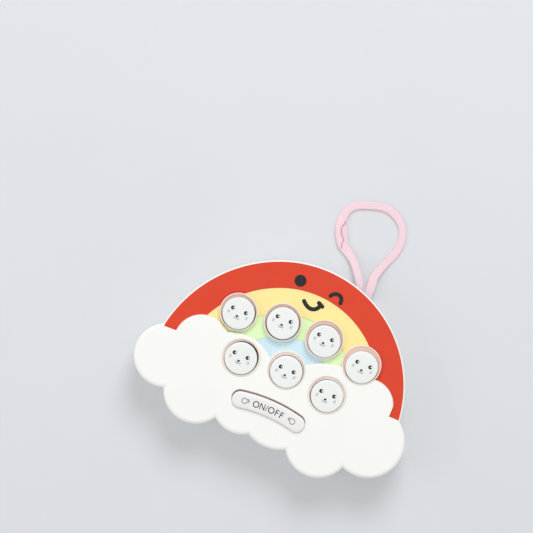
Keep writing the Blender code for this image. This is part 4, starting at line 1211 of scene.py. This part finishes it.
class ToyLightCaps(bpy.types.Operator):
    """Makes the seven frosted light caps."""

    bl_idname = "light_game.light_caps"
    bl_label = "Light caps"

    def execute(self, context):
        radius, edge = size("cap_radius"), size("cap_edge")
        inner, flat = radius - 0.9, radius - edge
        roof = cap_height(0) - 1.2
        profile = [(1.5, post_bottom), (1.5, roof), (inner, roof), (inner, flange_bottom),
                   (flange_radius, flange_bottom), (flange_radius, flange_top), (radius, flange_top)]
        profile += [(radius - inward, cap_height(flat) - below)
                    for inward, below in round_corner(edge, edge, 8)]
        profile += [(flat * share, cap_height(flat * share)) for share in (0.8, 0.6, 0.4, 0.2, 0.05)]
        # The flange takes the skirt's painted pink-brown shade, as it is seen down the gap
        looks = ["cap"] * 3 + ["skirt"] * 3 + ["cap"] * (len(profile) - 6)
        caps = [turned("frosted_cap_1", profile, plan_middle("light_cap_1"), looks=looks)]
        for number in range(2, 8):
            choose(caps[0])
            bpy.ops.object.duplicate()
            step = plan_middle(f"light_cap_{number}") - plan_middle("light_cap_1")
            bpy.ops.transform.translate(value=(*(step * mm), 0))
            bpy.ops.object.transform_apply(location=True, rotation=False, scale=False)
            caps.append(context.object)
            caps[-1].name = f"frosted_cap_{number}"
        for number, cap in enumerate(caps, 1):
            finish_piece(cap, f"light_button_{number}", f"light_cap_{number}")
        return {"FINISHED"}


class ToyCapFaces(bpy.types.Operator):
    """Prints the small face on each light cap: two eyes, a nose, a mouth and two cheek marks."""

    bl_idname = "light_game.cap_faces"
    bl_label = "Cap faces"

    def execute(self, context):
        for number in range(1, 8):
            middle = plan_middle(f"light_cap_{number}")
            face = join(self.patches(middle, Vector(collars[number - 1][-1])))
            face.name = f"cap_face_{number}"
            finish_piece(face, f"light_button_{number}")
        return {"FINISHED"}

    def patches(self, middle, shift):
        marks = [("nose", circle(0.46, (0, -0.66), 32, 0.33 / 0.46), "ink", 1)]
        for side in (-1, 1):
            marks.append(("eye", circle(0.67, (side * 2.36, 1.42), 40), "ink", 1))
            marks.append(("glint", circle(0.25, (side * 2.36 + 0.31, 1.53), 24), "ink_white", 2))
            for x in (side * 3.2 - 0.19, side * 3.2 + 0.19):
                line = stroke_outline([(x - 0.05, -0.65), (x + 0.05, 0.25)], 0.16)
                marks.append(("cheek", line, "ink_grey", 1))
            smile = stroke_outline(arc((side * 0.43, -1.12), 0.44, 180, 360, 14), 0.22)
            marks.append(("mouth", smile, "ink_grey", 1))
        return [print_patch(name, [spot + middle + shift for spot in outline],
                            lambda spot: cap_height((spot - middle).length), look, films)
                for name, outline, look, films in marks]


class ToyRainbowFace(bpy.types.Operator):
    """Prints the rainbow's face: a round eye, a winking eye and a smile."""

    bl_idname = "light_game.rainbow_face"
    bl_label = "Rainbow face"

    def execute(self, context):
        wink = ((3.52, 34.3), (4.14, 35.15), (5.2, 35.7), (6.4, 35.6), (7.3, 34.8), (7.58, 33.4))
        smile = ((-3.9, 29.2), (-2.6, 28.2), (-1.1, 27.7), (0.3, 28.0), (1.3, 28.9), (1.7, 30.1))
        dimple = ((0.95, 30.6), (2.45, 29.9))
        marks = (("rainbow_face", circle(2.02, (-7.73, 34.93), 64), red_level, 1),
                 ("wink", stroke_outline(smooth_route(wink, 0.25)[0], 1.35), red_level, 1),
                 ("smile", stroke_outline(smooth_route(smile, 0.25)[0], 1.4), yellow_level, 1),
                 ("dimple", stroke_outline(dimple, 1.4), yellow_level, 1.2))
        finish_piece(join([print_patch(name, outline, lambda _: level, films=films)
                           for name, outline, level, films in marks]), "case")
        return {"FINISHED"}


class ToyPowerKey(bpy.types.Operator):
    """Makes the bent power key with its lettering and two small signs."""

    bl_idname = "light_game.power_key"
    bl_label = "Power key"

    def execute(self, context):
        top = solid_box("power_button")[1].z
        edge = 0.65
        levels = [(-1.0, top - 1.2), (-1.0, flange_bottom), (0.7, flange_bottom), (0.7, flange_top),
                  (0, flange_top)]
        levels += [(-inward, top - 0.08 - below) for inward, below in round_corner(1.4 * edge, edge, 8)]
        levels += [(-1.4, top - 0.02), (-2.3, top)]
        # The key's flange takes the skirt's painted pink-brown shade, as it is seen down the slot
        looks = ["key"] + ["skirt"] * 3 + ["key"] * (len(levels) - 4)
        key = stack("bent_power_key", key_outline, levels, looks)
        row = key_row_radius - key_row_focus
        add(key, turned("post", [(1.5, post_bottom), (1.5, top - 1.0)], (0, row), 48, "key"))
        cut(key, box("notch", (-2.85, row - 6, flange_bottom - 1), (2.85, row + 6, 14.5), "key"))
        finish_piece(key, "power_key", "power_button")
        letters = [self.letter(context, top, *letter) for letter in key_letters]
        signs = [self.sign(top, side, line) for side in (-1, 1) for line in self.lamp_sign(-side)]
        for name, patches in (("key_lettering", letters), ("key_signs", signs)):
            marks = join(patches)
            marks.name = name
            finish_piece(marks, "power_key")
        return {"FINISHED"}

    def letter(self, context, top, letter, along, squeeze):
        """Sets one letter square to the key's bend."""
        place, turn = key_place(along, 0.28)
        deselect_all()
        bpy.ops.object.text_add(location=placed(*place, top - 0.05) * mm, rotation=(0, 0, turn))
        text = context.object
        text.scale.x = squeeze
        for key, value in {"body": letter, "size": 3.1 * mm, "align_x": "CENTER", "align_y": "CENTER",
                           "extrude": 0.07 * mm, "offset": 0.012 * mm, "resolution_u": 6}.items():
            setattr(text.data, key, value)
        text.data.materials.append(finish("ink"))
        bpy.ops.object.convert(target="MESH")
        bpy.ops.object.transform_apply(location=True, rotation=True, scale=True)
        return context.object

    def sign(self, top, side, line):
        """Prints one line of the small lamp beside the lettering."""
        place, turn = key_place(side * 8.58 - 0.08)
        line = [place + Matrix.Rotation(turn, 2) @ spot for spot in line]
        return print_patch("sign", stroke_outline(line, 0.33), lambda _: top, "ink_grey")

    def lamp_sign(self, lean):
        """A small lamp lying aslant: its round bulb and its neck."""
        neck = Vector((lean, 0.18)).normalized()
        across = Vector((-neck.y, neck.x)) * 0.34
        foot, start = neck * 1.35, heading(neck)
        bulb = arc((-0.15 * lean, -0.05), 0.90, start + 28, start + 332, 26)
        return [bulb, *[[neck * 0.72 + aside, foot + aside] for aside in (-across, across)],
                [foot - across, foot + across]]


class ToyInnerFinishes(bpy.types.Operator):
    """Gives each solid that stays in view its finish."""

    bl_idname = "light_game.inner_finishes"
    bl_label = "Inner finishes"

    def execute(self, context):
        for name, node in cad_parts.items():
            found = [look for look, starts in solid_looks.items() if name.startswith(starts)]
            if not found:
                raise RuntimeError(f"{name} has no finish")
            node.data.materials.clear()
            node.data.materials.append(finish(found[0]))
        return {"FINISHED"}


class ToyPanel(bpy.types.Panel):
    """Lists the settings and the steps that dress the game."""

    bl_idname = "VIEW3D_PT_light_game"
    bl_label = "Rainbow light game"
    bl_space_type = "VIEW_3D"
    bl_region_type = "UI"
    bl_category = "Light game"

    def draw(self, context):
        for group in (context.scene.game_sizes, context.scene.game_colours):
            for setting in type(group).__annotations__:
                self.layout.prop(group, setting)
        for step in steps:
            self.layout.operator(step.bl_idname)


steps = (
    ToyStage,
    ToyStrap,
    ToyInnerFinishes,
    ToyFrontMoulding,
    ToyBackMoulding,
    ToyBatteryCover,
    ToyFasteners,
    ToyCollars,
    ToyLightCaps,
    ToyCapFaces,
    ToyRainbowFace,
    ToyPowerKey,
)
classes = (GameSizes, GameColours, *steps, ToyPanel)


def register():
    for made in classes:
        bpy.utils.register_class(made)
    bpy.types.Scene.game_sizes = bpy.props.PointerProperty(type=GameSizes)
    bpy.types.Scene.game_colours = bpy.props.PointerProperty(type=GameColours)


def unregister():
    del bpy.types.Scene.game_sizes
    del bpy.types.Scene.game_colours
    for made in reversed(classes):
        bpy.utils.unregister_class(made)


def main():
    register()
    for step in steps:
        group, name = step.bl_idname.split(".")
        getattr(getattr(bpy.ops, group), name)()


if __name__ == "__main__":
    main()
